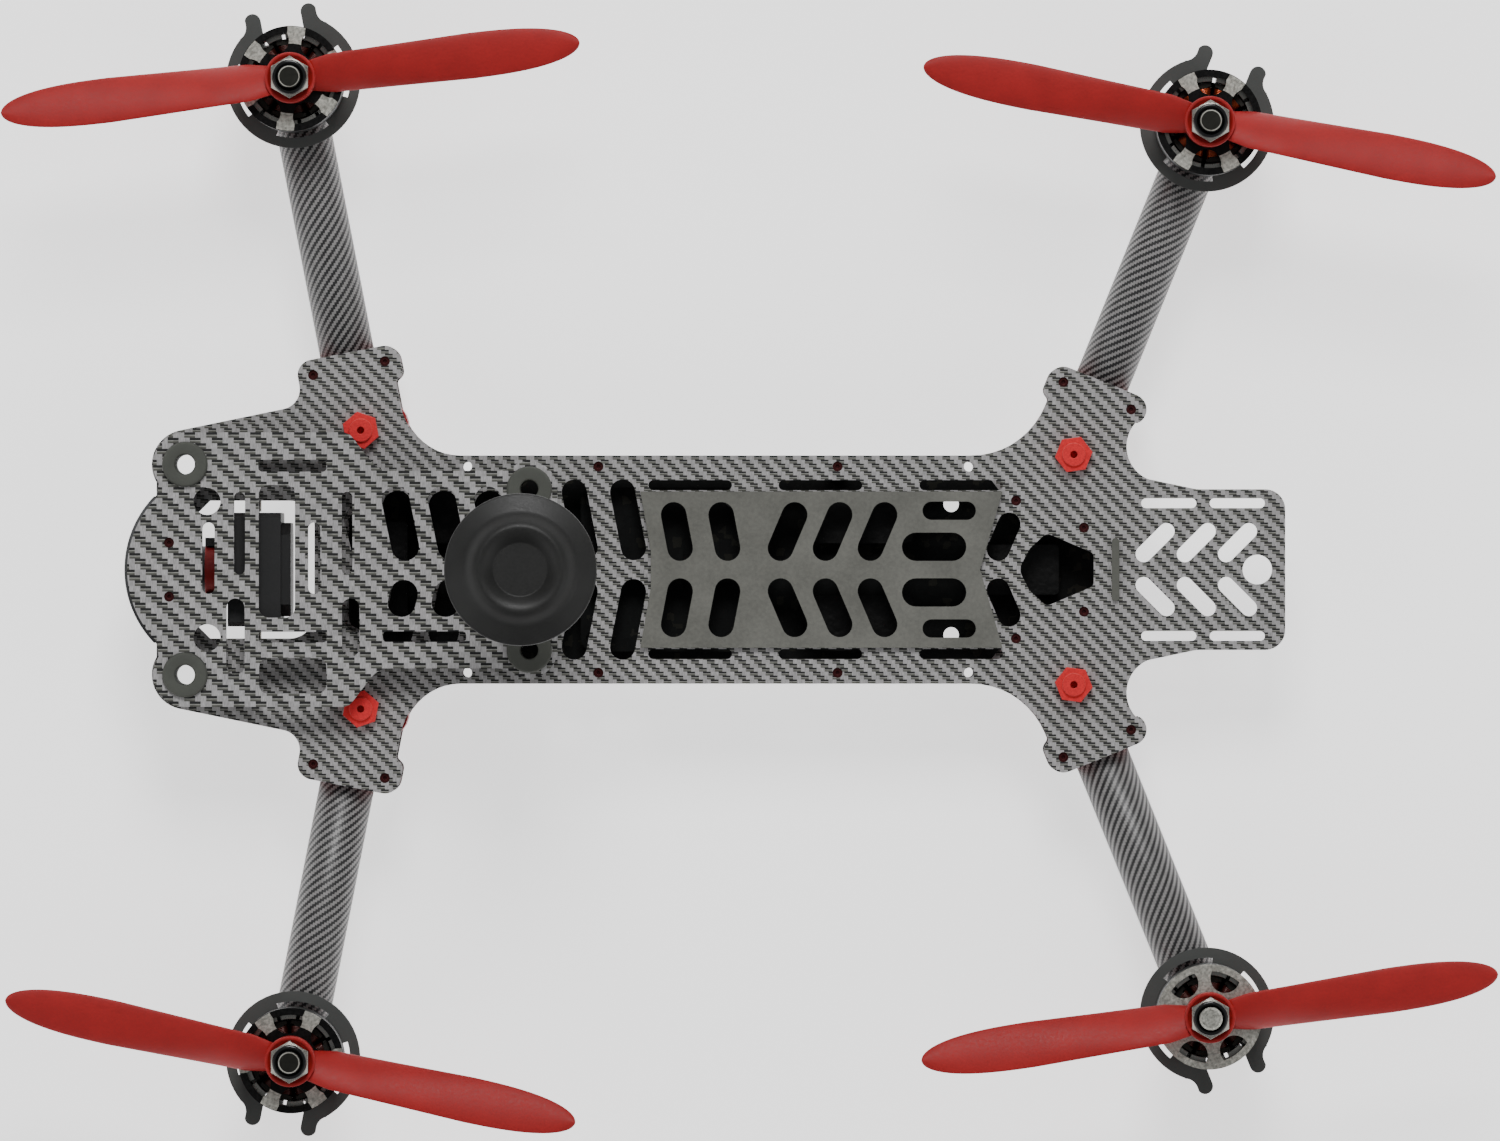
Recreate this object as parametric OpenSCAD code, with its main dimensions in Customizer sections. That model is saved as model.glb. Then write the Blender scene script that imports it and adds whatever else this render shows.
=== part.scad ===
// Racing quadcopter: a carbon-plate body on four carbon tubes, each with an outrunner motor and a
// two-blade propeller, with a tilting flight camera in the nose and a damped camera plate above it.
// Millimetres. +X is forward, +Y is to the left, +Z is up. The origin is on the ground, on the
// centre line, midway between the front and the rear motor axes.

/* [Layout] */
// Distance along the body from the front arm bolts to the rear arm bolts
root_span = 156.1; // [130:0.1:200]
// Width of the middle of the body
body_w = 50; // [41:0.5:64]
// Distance from an arm's root bolt to its motor axis
arm_reach = 78; // [62:0.5:100]
// Angle of the front arms, forward of straight sideways
front_lean = 11; // [0:0.5:20]
// Angle of the rear arms, behind straight sideways
rear_lean = 22; // [10:0.5:30]
// How far the front arm bolts stand outside the edge of the body
front_root_out = 5.5; // [3:0.1:8]
// How far the rear arm bolts stand outside the edge of the body
rear_root_out = 0.2; // [-2:0.1:3]

/* [Plates] */
// Thickness of the lower and the upper plate
plate_t = 2; // [1.5:0.1:3]
// Thickness of the camera plate
camera_plate_t = 2; // [1.5:0.1:3]
// Clear height between the upper plate and the camera plate
damper_gap = 7; // [5:0.5:12]
// Radius of the small frame screws
screw_r = 1.1; // [1:0.05:1.5]
// Outer radius of the frame standoffs
standoff_r = 2.2; // [2:0.05:2.4]
// Depth of a screw end below the face of its plate
screw_sink = 0.6; // [0.2:0.1:1]
// Height of the landing feet
foot_h = 10; // [6:0.5:20]
// Radius of the landing feet
foot_r = 7; // [4:0.5:8]

/* [Arms] */
// Outer diameter of the arm tubes
tube_d = 12; // [10:0.1:14.4]
// Wall of the arm tubes
tube_wall = 1; // [0.6:0.1:1.6]
// Length of tube inside the root bolt
tube_tail = 8; // [6:0.5:9]
// Length of tube beyond the motor axis
tube_tip = 9; // [8.6:0.1:11]
// Wall of the clamps above and below the tube
clamp_wall = 0.8; // [0.6:0.1:2]
// Half length of the root clamp across the arm
root_clamp_half = 10.4; // [9.6:0.1:11]
// Radius of the root bolt's shank
root_bolt_r = 2; // [1.5:0.1:2.5]
// Distance from the root bolt to the clamp screws, along the arm
lobe_out = 13.9; // [12:0.1:16]
// Distance of the clamp screws from the middle of the tube, past its outer radius
lobe_gap = 2; // [1.8:0.1:4]
// Radius of the lobes around the clamp screws
lobe_r = 3.4; // [2.8:0.1:4]
// Width across the flats of the red root nuts
root_hex_af = 7.2; // [6:0.1:9]

/* [Motors] */
// Outer diameter of the motor bell
bell_d = 23; // [20:0.5:28]
// Height of the motor bell
bell_h = 12.6; // [11:0.1:18]
// Wall of the bell
bell_wall = 1.3; // [1:0.1:1.6]
// Thickness of the bell's top
bell_top_t = 1.5; // [1:0.1:2.5]
// Gap between the magnets and the stator
air_gap = 0.25; // [0.2:0.05:0.5]
// Radius of the motor shaft in its bearings
axle_r = 1.5; // [1:0.05:2]
// Radial clearance of the shaft in its bearings
axle_gap = 0.05; // [0.02:0.01:0.1]
// Radius of the threaded shaft that carries the propeller
prop_shaft_r = 2.5; // [2:0.05:3]
// Clearance of the bell above the motor base
bell_lift = 0.4; // [0.3:0.1:1]
// Thickness of the guard plate under each motor
guard_t = 1.5; // [1:0.1:2.5]
// Margin of the guard plate outside the bell
guard_margin = 3.2; // [2.6:0.1:4]

/* [Propellers] */
// Diameter of the propellers
prop_d = 127; // [106:0.5:152.4]
// Pitch of the propellers, the advance in one turn
prop_pitch = 76; // [50:1:115]
// Height of a propeller's hub
hub_h = 6; // [4.5:0.1:8]
// Radius of a propeller's hub
hub_r = 5.5; // [5:0.1:7]
// Widest part of a blade, seen from above
blade_w = 9.9; // [8:0.1:13]
// Height of the lock nut on the shaft
nut_h = 4.6; // [4:0.1:6]
// Width across the flats of the lock nut
nut_af = 8; // [7.5:0.1:10]

/* [Flight camera] */
// Width and height of the flight camera
camera_w = 24.9; // [20:0.1:26]
// Length of the camera's case in front of its back block
camera_l = 11.6; // [10:0.1:14]
// Radius of the camera's pivot screws
camera_pin_r = 1; // [0.8:0.05:1.4]
// Radial clearance of the pivot screws in the camera
camera_pin_gap = 0.05; // [0.02:0.01:0.1]
// Gap between the camera and each bracket
camera_side_gap = 2.9; // [2.2:0.1:3.4]
// Radius of the lens barrel
lens_r = 7; // [6:0.1:8]

/* [Aerial] */
// Height of the top of the aerial's cap above the camera plate
aerial_h = 44.4; // [25:0.2:70]
// Radius of the aerial's cap
cap_r = 16.45; // [12:0.1:20]

/* [Hidden] */
$fn = 48;

// Colours
carbon = "#3a3a3d";
red = "#d93a3a";
dark_red = "#7a1c1e";
prop_red = "#b83236";
rubber = "#54554f";
black = "#161617";
matte = "#3a3b3a";
silver = "#b9b9b4";
copper = "#a9502c";

// Heights
hw = body_w / 2;
tube_r = tube_d / 2;
plate_gap = tube_d + 2 * clamp_wall;
deck_z = foot_h + plate_t + plate_gap;
deck_top = deck_z + plate_t;
tube_z = foot_h + plate_t + plate_gap / 2;
camera_plate_z = deck_top + damper_gap;
camera_plate_top = camera_plate_z + camera_plate_t;

// Arms: 0 front left, 1 front right, 2 rear left, 3 rear right
ARMS = [0 : 3];
function is_front(i) = i < 2;
function side(i) = i % 2 == 0 ? 1 : -1;
function lean(i) = is_front(i) ? front_lean : rear_lean;
root_sum = root_span + arm_reach * (sin(front_lean) + sin(rear_lean));
F = root_sum / 2 - arm_reach * sin(front_lean);
R = F - root_span;
front_root_y = hw + front_root_out;
rear_root_y = hw + rear_root_out;
function arm_root(i) = [is_front(i) ? F : R, side(i) * (is_front(i) ? front_root_y : rear_root_y)];
function arm_angle(i) = side(i) * (is_front(i) ? 90 - lean(i) : 90 + lean(i));
function motor_at(i) = arm_root(i) + arm_reach * [cos(arm_angle(i)), sin(arm_angle(i))];
module at_root(i) { translate(arm_root(i)) rotate(arm_angle(i)) children(); }
module at_motor(i) { translate(motor_at(i)) rotate(arm_angle(i)) children(); }

// Outline helpers
function unit(v) = v / norm(v);
function xy(p) = [p[0], p[1]];
function arc(c, r, a, b, n = 16) = [for (i = [0 : n]) let (t = a + (b - a) * i / n)
    [c[0] + r * cos(t), c[1] + r * sin(t)]];
// Points that round the corner b, between a and c, with radius r
function rounded(a, b, c, r) =
    let (u = unit(a - b), v = unit(c - b), half = acos(u * v) / 2, mid = b + unit(u + v) * r / sin(half),
         s = b + u * r / tan(half) - mid, e = b + v * r / tan(half) - mid,
         from = atan2(s[1], s[0]), turn = (atan2(e[1], e[0]) - from + 540) % 360 - 180,
         n = max(2, ceil(abs(turn) / 8)))
    [for (i = [0 : n]) mid + r * [cos(from + turn * i / n), sin(from + turn * i / n)]];
// An outline from corners [x, y, radius], or [x, y] where the corner stays sharp
function outline(p) = let (n = len(p)) [for (i = [0 : n - 1])
    each (len(p[i]) > 2 ? rounded(xy(p[(i + n - 1) % n]), xy(p[i]), xy(p[(i + 1) % n]), p[i][2])
                        : [p[i]])];
// The whole outline from its left half, which runs from nose to tail
function both_sides(p) = concat(p, [for (i = [len(p) - 1 : -1 : 0]) [for (k = [0 : len(p[i]) - 1])
    k == 1 ? -p[i][1] : p[i][k]]]);
// A point beside an arm: along it from the root bolt, and across it towards the nose
function front_pt(along, fore) = [F + along * sin(front_lean) + fore * cos(front_lean),
    front_root_y + along * cos(front_lean) - fore * sin(front_lean)];
function rear_pt(along, fore) = [R - along * sin(rear_lean) + fore * cos(rear_lean),
    rear_root_y + along * cos(rear_lean) + fore * sin(rear_lean)];
function with_r(p, r) = [p[0], p[1], r];
// Where a line through p with direction u crosses a line through q with direction v
function cross_at(p, u, q, v) = let (d = q - p, k = u[0] * v[1] - u[1] * v[0])
    p + u * (d[0] * v[1] - d[1] * v[0]) / k;

// A slot with round ends, between two centres
module slot(a, b, r) {
    t = atan2(b[1] - a[1], b[0] - a[0]);
    polygon(concat(arc(b, r, t - 90, t + 90, 12), arc(a, r, t + 90, t + 270, 12)));
}
module slots_both(a, b, r) { for (s = [1, -1]) slot([a[0], s * a[1]], [b[0], s * b[1]], r); }
module holes_both(x, y, r) { for (s = [1, -1]) translate([x, s * y]) circle(r); }
module slab(z, t) { translate([0, 0, z]) linear_extrude(t) children(); }
module ring(ro, ri) { difference() { circle(ro); circle(ri); } }
module window(x0, x1, y0, y1, r) {
    polygon(outline([[x0, y0, r], [x1, y0, r], [x1, y1, r], [x0, y1, r]]));
}

// Places shared by the plates
lobe_half = tube_r + lobe_gap;
edge_along = lobe_out + lobe_r;
head_side = lobe_half + lobe_r;
waist_side = root_clamp_half - 0.85;
ear_y = hw - 2;
ear_x = F + 38.2;
aft_ear_x = F - 37;
aft_ear_y = hw - 7.4;
nose_x = F + 28.5;
nose_half = hw - 8.7;
nose_r = nose_half * sqrt(2);
tail_half = hw - 7.4;
tail_x = R - 46.4;
grommet_neck_r = 3.4;
edge_hole_y = hw - 2.4;
front_edge_hole_x = F - 23.2;
rear_edge_hole_x = R + 22.9;
drain_at = [R + 26.6, hw - 10.6];
standoff_at = [[F - 52, edge_hole_y], [R + 51.7, edge_hole_y], [R + 12.6, hw - 9.9],
    [R - 2.3, hw - 15.8]];
aerial_x = F - 35.7;
tie_at = [R - 9.2, 6.1];
tie_r = 0.8;

// Shape of an arm's clamp head at the edge of a plate, on the left side
front_head = [with_r(front_pt(edge_along, head_side), lobe_r),
    with_r(front_pt(edge_along, -head_side), lobe_r),
    with_r(front_pt(lobe_out - lobe_r, -head_side), 2), with_r(front_pt(lobe_out - 4.6, -waist_side), 1)];
rear_head = [with_r(rear_pt(lobe_out - 4.6, waist_side), 1),
    with_r(rear_pt(lobe_out - lobe_r, head_side), 2), with_r(rear_pt(edge_along, head_side), lobe_r)];
front_dir = [sin(front_lean), cos(front_lean)];
rear_dir = [-sin(rear_lean), cos(rear_lean)];
front_waist = cross_at(front_pt(0, -waist_side), front_dir, [0, hw], [1, 0]);
rear_waist = cross_at(rear_pt(0, waist_side), rear_dir, [0, hw], [1, 0]);
// The two inner corners between the body and the arms
body_side = [with_r(front_waist, 13.5), with_r(rear_waist, 18)];

// Upper plate: the left half of its outline, from nose to tail
ear_r = 7.66;
side_dir = unit([-26.2, 5.4]);
ear_side_a = 78.4;
upper_side = [ear_x, ear_y] + ear_r * [cos(ear_side_a), sin(ear_side_a)];
upper_corner = cross_at(upper_side, side_dir, front_pt(0, head_side), front_dir);
tail_cove = rear_pt(lobe_out, -lobe_half) + [-6.8, -8.1];
upper_half = concat(
    arc([nose_x, 0], nose_r, 0, 45, 14),
    arc([ear_x, ear_y], ear_r, -30.4, ear_side_a, 14),
    [with_r(upper_corner, 4.4)], front_head, body_side, rear_head,
    arc(rear_pt(lobe_out, -lobe_half), lobe_r, 90 + rear_lean, 236, 10),
    arc(tail_cove, 7.8, 44, -66, 12),
    [[R - 27, tail_half, 6], [tail_x, tail_half, 4.4]]);

// Rows of slanted slots over the middle of the body
slant_pitch = 10.6;
nose_pitch = 10.1;
pad_front = F - 61.2;
pad_rear = R + 15.6;
pad_half = hw - 7.9;
pad_slot_out = hw - 13;
pad_slot_in = 4.7;
pad_rear_pitch = 9.85;
aft_slots = max(0, floor((pad_front - pad_rear - 49) / pad_rear_pitch));
slim_r = 1.1;
slim_half = 8.05;
slim_y = hw - 6.5;
slim_first = pad_front - 10.9;
slim_last = pad_rear + 9;
slim_n = max(1, floor((slim_first - slim_last) / 25));

// Slots that the pad and the upper plate share
module pad_slots() {
    for (k = [0, 1]) slots_both([pad_front - 7.3 - k * 10.4, pad_slot_out],
                                [pad_front - 8.7 - k * 10.4, pad_slot_in], 2.8);
    for (k = [0 : 1 : aft_slots - 1]) slots_both([R + 41.4 + k * pad_rear_pitch, pad_slot_out],
                                [R + 44.5 + k * pad_rear_pitch, pad_slot_in], 2.8);
    slots_both([R + 34.5, 5], [R + 26.6, 5], 3.1);
    slots_both([R + 31.1, hw - 12.1], [R + 23.4, hw - 12.1], 2);
}
// Slanted slots between the pad and the aft grommets, then under the camera plate
module front_slots() {
    for (k = [0, 1]) slots_both([F - 57.3 + k * slant_pitch, hw - 8],
                                [F - 59.7 + k * slant_pitch, 4.8], 2.75);
    for (k = [0 : 2]) slots_both([F - 8 - k * nose_pitch, hw - 11], [F - 10 - k * nose_pitch, 4.8], 3.3);
    slots_both([F + 0.7, hw - 14.2], [F - 1, 4.2], 3);
}
module slim_slots() {
    for (k = [0 : slim_n]) let (x = slim_first + (slim_last - slim_first) * k / slim_n
        + (k > 0 && k < slim_n ? 1.15 : 0))
        slots_both([x + slim_half, slim_y], [x - slim_half, slim_y], slim_r);
}
module wire_port() {
    polygon(outline([[R + 12, 0, 3], [R + 9.6, -4.6, 3], [R + 5.9, -8, 1.6], [R - 4.4, -3.6, 1.2],
                     [R - 4.4, 3.6, 1.2], [R + 5.9, 8, 1.6], [R + 9.6, 4.6, 3]]));
}
// The window that the flight camera looks and tilts through
window_side_gap = 0.25;
window_rear = 10.2;
window_front = 36.3;
module camera_window() {
    c = 3.2;
    half = bracket_in - window_side_gap;
    polygon(outline([[F + window_rear, -half, 5.5], [F + window_front - c, -half],
                     [F + window_front, c - half], [F + window_front, half - c],
                     [F + window_front - c, half], [F + window_rear, half, 5.5]]));
}
// Holes for the small screws of both plates
module frame_holes() {
    for (p = standoff_at) holes_both(p[0], p[1], screw_r);
    for (i = ARMS) at_root(i) {
        circle(root_bolt_r);
        holes_both(lobe_out, lobe_half, screw_r);
    }
    holes_both(front_edge_hole_x, edge_hole_y, screw_r);
    holes_both(rear_edge_hole_x, edge_hole_y, screw_r);
}
module tail_cuts() {
    for (x = [R - 20.9, R - 35.9]) slots_both([x + 5, hw - 10.45], [x - 5, hw - 10.45], 1.07);
    for (k = [0 : 2]) slots_both([R - 15.4 - k * 9.03, 3.4], [R - 20.4 - k * 9.03, 8.4], 1.8);
    translate([tail_x + 6.1, 0]) circle(3.25);
}
module upper_plate() {
    color(carbon) slab(deck_z, plate_t) difference() {
        polygon(outline(both_sides(upper_half)));
        frame_holes();
        camera_window();
        pad_slots();
        front_slots();
        slim_slots();
        wire_port();
        tail_cuts();
        slots_both([R + 14.1, 10], [R + 16.5, 4.4], 2.5);
        holes_both(tie_at[0], tie_at[1], tie_r);
        holes_both(ear_x, ear_y, grommet_neck_r);
        holes_both(aft_ear_x, aft_ear_y, grommet_neck_r);
    }
}

// Lower plate: from just behind the camera to just behind the rear arms
lower_front = F + 7.6;
lower_rear = R - 13;
lower_half = concat(
    [[lower_front, 0], with_r([lower_front, front_root_y - 6], 2),
     with_r(front_pt(-1, head_side), 3)], front_head, body_side, rear_head,
    arc(rear_pt(lobe_out, -lobe_half), lobe_r, 90 + rear_lean, 236, 10),
    arc(tail_cove, 7.8, 44, -66, 12),
    [[lower_rear, 9, 4], [lower_rear, 0]]);
module lower_plate() {
    color(carbon) slab(foot_h, plate_t) difference() {
        polygon(outline(both_sides(lower_half)));
        frame_holes();
        holes_both(drain_at[0], drain_at[1], 1.73);
    }
}

// Camera plate, on four rubber grommets over the nose
cam_half = hw + 5;
cam_waist = hw - 3.4;
cam_ear_r = 7;
cam_half_outline = concat(
    arc([nose_x, 0], nose_r - 0.7, 0, 45, 14),
    arc([ear_x, ear_y], cam_ear_r, -35, 90, 12),
    [[F + 2.5, cam_half, 3], [F - 4, cam_waist, 5]],
    [[F - 31, cam_waist, 8]],
    arc([aft_ear_x, aft_ear_y], 6.1, 50, 180, 10));
nose_screw_at = [nose_x + nose_r - 9.85, 5.9];
module camera_plate() {
    color(carbon) slab(camera_plate_z, camera_plate_t) difference() {
        polygon(outline(both_sides(cam_half_outline)));
        holes_both(ear_x, ear_y, grommet_neck_r);
        holes_both(aft_ear_x, aft_ear_y, grommet_neck_r);
        holes_both(nose_screw_at[0], nose_screw_at[1], screw_r);
        holes_both(F + 33.4, 14.9, 2.95);
        slot([F + 33.1, -8.95], [F + 33.1, 3.95], 1.35);
        slot([F + 26.3, -15.7], [F + 26.3, -0.1], 1.2);
        slot([F + 27.2, 8.3], [F + 27.2, cam_half - 9], 2);
        window(F + 14.2, F + 22.1, -18.5, 10.5, 2.2);
        window(F + 7.3, F + 22.2, 6 - cam_half, 8.6 - cam_half, 0.8);
        window(F + 7.3, F + 22.2, 13.6, 15.9, 0.7);
        window(F + 7.3, F + 22, cam_half - 10.7, cam_half - 2.9, 2);
        slot([F + 10, -8.95], [F + 10, 3.95], 1.35);
        slot([F + 2.8, -15.85], [F + 2.8, -0.05], 1.15);
        slot([F + 2, 8.2], [F + 2, cam_waist - 4.5], 1.9);
        for (k = [0 : 2])
            slot([F - 7.8 - k * nose_pitch, 6.5 - cam_waist], [F - 9.9 - k * nose_pitch, -5], 3.05);
        for (k = [0, 1]) slot([F - 9.6 - k * 9.6, 5.3], [F - 9.1 - k * 9.6, 7.3], 3.05);
        window(F - 23.2, F - 5, 13.5, 15.8, 0.8);
    }
}

// A grey plastic lip around the nose, hung from the camera plate
bumper_gap = 0.5;
bumper_w = 3;
module nose_bumper() {
    color(matte) slab(deck_top + bumper_gap, damper_gap - bumper_gap) difference() {
        union() {
            polygon(concat(arc([nose_x, 0], nose_r, -44, 44, 24),
                           arc([nose_x, 0], nose_r - bumper_w, 44, -44, 24)));
            for (s = [1, -1]) slot([nose_screw_at[0], s * nose_screw_at[1]],
                                   [nose_screw_at[0] + 5, s * nose_screw_at[1]], screw_r + 1.4);
        }
        holes_both(nose_screw_at[0], nose_screw_at[1], screw_r);
    }
}

// Rubber grommets: a bulb between the plates, a neck in each plate and a flange outside each
grommet_r = 4.95;
grommet_flange = 1.2;
module grommet(bore) {
    difference() {
        union() {
            translate([0, 0, deck_z - grommet_flange]) cylinder(h = grommet_flange, r = grommet_r);
            translate([0, 0, deck_z]) cylinder(h = plate_t, r = grommet_neck_r);
            translate([0, 0, deck_top]) cylinder(h = damper_gap, r = grommet_r);
            translate([0, 0, camera_plate_z]) cylinder(h = camera_plate_t, r = grommet_neck_r);
            translate([0, 0, camera_plate_top]) cylinder(h = grommet_flange, r = grommet_r);
        }
        translate([0, 0, deck_z - grommet_flange - 1])
            cylinder(h = camera_plate_top - deck_z + 2 * grommet_flange + 2, r = bore);
    }
}
module damper_grommets() {
    color(rubber) for (s = [1, -1]) {
        translate([ear_x, s * ear_y]) grommet(2.15);
        translate([aft_ear_x, s * aft_ear_y]) grommet(1.95);
    }
}

// Non-slip battery pad with notched ends
pad_t = 1.5;
pad_notch = 2.3;
pad_tail_notch = 4.9;
pad_half_l = (pad_front - pad_rear) / 2;
module battery_pad() {
    color("#6b6b66") slab(deck_top, pad_t) difference() {
        polygon([[pad_front, pad_half], [pad_front - pad_notch, 4], [pad_front - pad_notch, -4],
                 [pad_front, -pad_half], [pad_rear, -pad_half], [pad_rear + pad_tail_notch, 0],
                 [pad_rear, pad_half]]);
        pad_slots();
        slots_both([R + 14.1, 10], [R + 16.5, 4.4], 2.5);
    }
}

// Electronics between the plates
board_z = foot_h + plate_t + 1.6;
board_t = 1.6;
board_half = hw - 5;
board_front = F + 3;
board_rear = R - 10;
spacer_r = 1.8;
spacer_at = [[F - 20, hw - 10.5], [R + 34, hw - 6.5]];
standoff_room = 0.6;
module power_board() {
    color(black) slab(board_z, board_t) difference() {
        polygon(outline([[board_front, -board_half + 8, 2], [board_front, board_half - 8, 2],
            [F - 12, board_half, 2], [R + 18, board_half, 2], [R + 12, 12, 2], [board_rear, 7, 2],
            [board_rear, -7, 2], [R + 12, -12, 2], [R + 18, -board_half, 2],
            [F - 12, -board_half, 2]]));
        for (p = standoff_at) holes_both(p[0], p[1], standoff_r + standoff_room);
        holes_both(drain_at[0], drain_at[1], 1.73);
    }
}
fc_side = 2 * (hw - 7);
fc_share = 0.423;
fc_x = F - fc_share * root_span;
fc_pitch = fc_side - 5.5;
fc_z = board_z + board_t + 4;
module fc_posts() {
    for (x = [-1, 1], y = [-1, 1]) translate([fc_x + x * fc_pitch / 2, y * fc_pitch / 2]) children();
}
module flight_controller() {
    color(black) slab(fc_z, board_t) difference() {
        window(fc_x - fc_side / 2, fc_x + fc_side / 2, -fc_side / 2, fc_side / 2, 3);
        fc_posts() circle(1.6);
    }
    color(black) slab(fc_z + board_t, 1.4) translate([fc_x, 0]) square([9, 9], center = true);
}
module board_spacers() {
    color(black) {
        fc_posts() translate([0, 0, board_z + board_t]) cylinder(h = fc_z - board_z - board_t, r = 2.6);
        for (p = spacer_at, s = [1, -1]) translate([p[0], s * p[1], foot_h + plate_t])
            cylinder(h = board_z - foot_h - plate_t, r = spacer_r);
    }
}
esc_size = [22, 12, 4.5];
esc_share = 0.295;
module speed_controllers() {
    color(black) for (x = [F - 24, R + esc_share * root_span], s = [1, -1])
        slab(board_z + board_t, esc_size[2])
            window(x - esc_size[0] / 2, x + esc_size[0] / 2, s * (hw - 13.2) - esc_size[1] / 2,
                   s * (hw - 13.2) + esc_size[1] / 2, 1.5);
}
module receiver() {
    color(black) slab(board_z + board_t, 4) window(R + 3, R + 22, -5.5, 5.5, 1);
}
module video_transmitter() {
    color(black) slab(board_z + board_t, 5) window(F - 10, F + 1, -10.5, 10.5, 1);
}

// Mushroom aerial on a stem from a screwed socket
socket_r = 4.5;
stem_r = 1.6;
cap_drop = 7.4;
aerial_top = camera_plate_top + aerial_h;
module antenna_socket() {
    color("#8c7a45") translate([aerial_x, 0, camera_plate_top]) {
        cylinder(h = 2, r = socket_r);
        translate([0, 0, 2]) cylinder(h = 5, r = 3.1);
        translate([0, 0, 7]) cylinder(h = 4, r = 4, $fn = 6);
    }
}
module antenna_stem() {
    color(black) translate([aerial_x, 0, camera_plate_top + 11])
        cylinder(h = aerial_h - cap_drop - 11, r = stem_r);
}
// Half section of the cap: a dished middle, a rounded crest and a thin sloping flange
function cap_rise(r) = r < 5.6 ? 5.2
    : r < 9.5 ? 5.2 + 1.6 * (1 - cos((r - 5.6) / 3.9 * 180)) / 2
    : r < 13.2 ? 6.8 - 4.6 * (1 - cos((r - 9.5) / 3.7 * 180)) / 2
    : 2.2 - 0.9 * (r - 13.2) / 3.25;
module antenna_cap() {
    k = cap_r / 16.45;
    color(matte) translate([aerial_x, 0, aerial_top - cap_drop]) rotate_extrude($fn = 96)
        polygon(concat([[0, 0], [cap_r - 0.6, 0], [cap_r, 0.6]],
                       [for (i = [0 : 28]) let (r = 16.45 - 0.4 * i) [k * r, cap_rise(r) + 0.6]],
                       [[k * 5, cap_rise(5) + 0.6], [0, cap_rise(0) + 0.6]]));
}

// Standoffs and the screws that hold them
module frame_standoffs() {
    color(red) for (p = standoff_at, s = [1, -1])
        slab(foot_h + plate_t, plate_gap) translate([p[0], s * p[1]]) ring(standoff_r, screw_r);
}
screw_l = 5;
module screw_end() {
    difference() {
        cylinder(h = screw_l, r = screw_r);
        translate([0, 0, screw_l - 0.7]) cylinder(h = 1, r = 0.55, $fn = 6);
    }
}
// A screw from above and one from below, at one place
module screw_pair() {
    translate([0, 0, deck_top - screw_sink - screw_l]) screw_end();
    translate([0, 0, foot_h + screw_sink + screw_l]) mirror([0, 0, 1]) screw_end();
}
module frame_screws() {
    color(dark_red) {
        for (p = standoff_at, s = [1, -1]) translate([p[0], s * p[1]]) screw_pair();
        for (i = ARMS) at_root(i) for (s = [1, -1]) translate([lobe_out, s * lobe_half]) screw_pair();
        for (s = [1, -1]) translate([nose_screw_at[0], s * nose_screw_at[1],
            camera_plate_top - screw_sink - screw_l]) screw_end();
    }
}

// Clamps that hold the tubes between the plates
module tube_bore(from, to) {
    translate([from, 0, tube_z]) rotate([0, 90, 0]) cylinder(h = to - from, r = tube_r);
}
root_clamp_l = 12;
module arm_root_clamps() {
    color(red) for (i = ARMS) at_root(i) difference() {
        slab(foot_h + plate_t, plate_gap) difference() {
            slot([0, root_clamp_half - root_clamp_l / 2], [0, root_clamp_l / 2 - root_clamp_half],
                 root_clamp_l / 2);
            circle(root_bolt_r);
        }
        tube_bore(-20, 20);
    }
}
edge_clamp_half = lobe_half + 2.6;
edge_clamp_reach = 2;
module arm_edge_clamps() {
    color(red) for (i = ARMS) at_root(i) difference() {
        slab(foot_h + plate_t, plate_gap) difference() {
            window(lobe_out - edge_clamp_reach, lobe_out + edge_clamp_reach,
                   -edge_clamp_half, edge_clamp_half, 1);
            holes_both(lobe_out, lobe_half, screw_r);
        }
        tube_bore(0, 30);
    }
}
root_nut_h = 3;
module arm_root_bolts() {
    color(red) for (i = ARMS) at_root(i) difference() {
        union() {
            translate([0, 0, foot_h]) cylinder(h = deck_top - foot_h, r = root_bolt_r);
            translate([0, 0, deck_top]) cylinder(h = root_nut_h, d = root_hex_af / cos(30), $fn = 6);
            translate([0, 0, deck_top + root_nut_h]) cylinder(h = 0.8, r = 2.5);
            translate([0, 0, foot_h - 2]) cylinder(h = 2, d = root_hex_af / cos(30), $fn = 6);
        }
        translate([0, 0, deck_top]) cylinder(h = 5, r = 0.8);
    }
}

// Arm parts
module arm_tube(i) {
    color(carbon) at_root(i) difference() {
        translate([-tube_tail, 0, tube_z]) rotate([0, 90, 0])
            cylinder(h = tube_tail + arm_reach + tube_tip, r = tube_r);
        translate([-tube_tail - 1, 0, tube_z]) rotate([0, 90, 0])
            cylinder(h = tube_tail + arm_reach + tube_tip + 2, r = tube_r - tube_wall);
        translate([0, 0, foot_h]) cylinder(h = deck_top - foot_h, r = root_bolt_r);
    }
}
seat_half = 8.5;
seat_side = tube_r + 2;
seat_top = tube_z + tube_r + 2;
seat_lobe_r = 11.8;
motor_screw_at = 8;
module motor_seat(i) {
    color(red) at_motor(i) {
        difference() {
            slab(foot_h, seat_top - foot_h) window(-seat_half, seat_half, -seat_side, seat_side, 2);
            tube_bore(-seat_half - 1, seat_half + 1);
        }
        slab(seat_top - 1.6, 1.6) for (a = [45, 135, 225, 315]) rotate(a)
            slot([seat_side + 1, 0], [seat_lobe_r - 2.2, 0], 2.2);
    }
}
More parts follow.
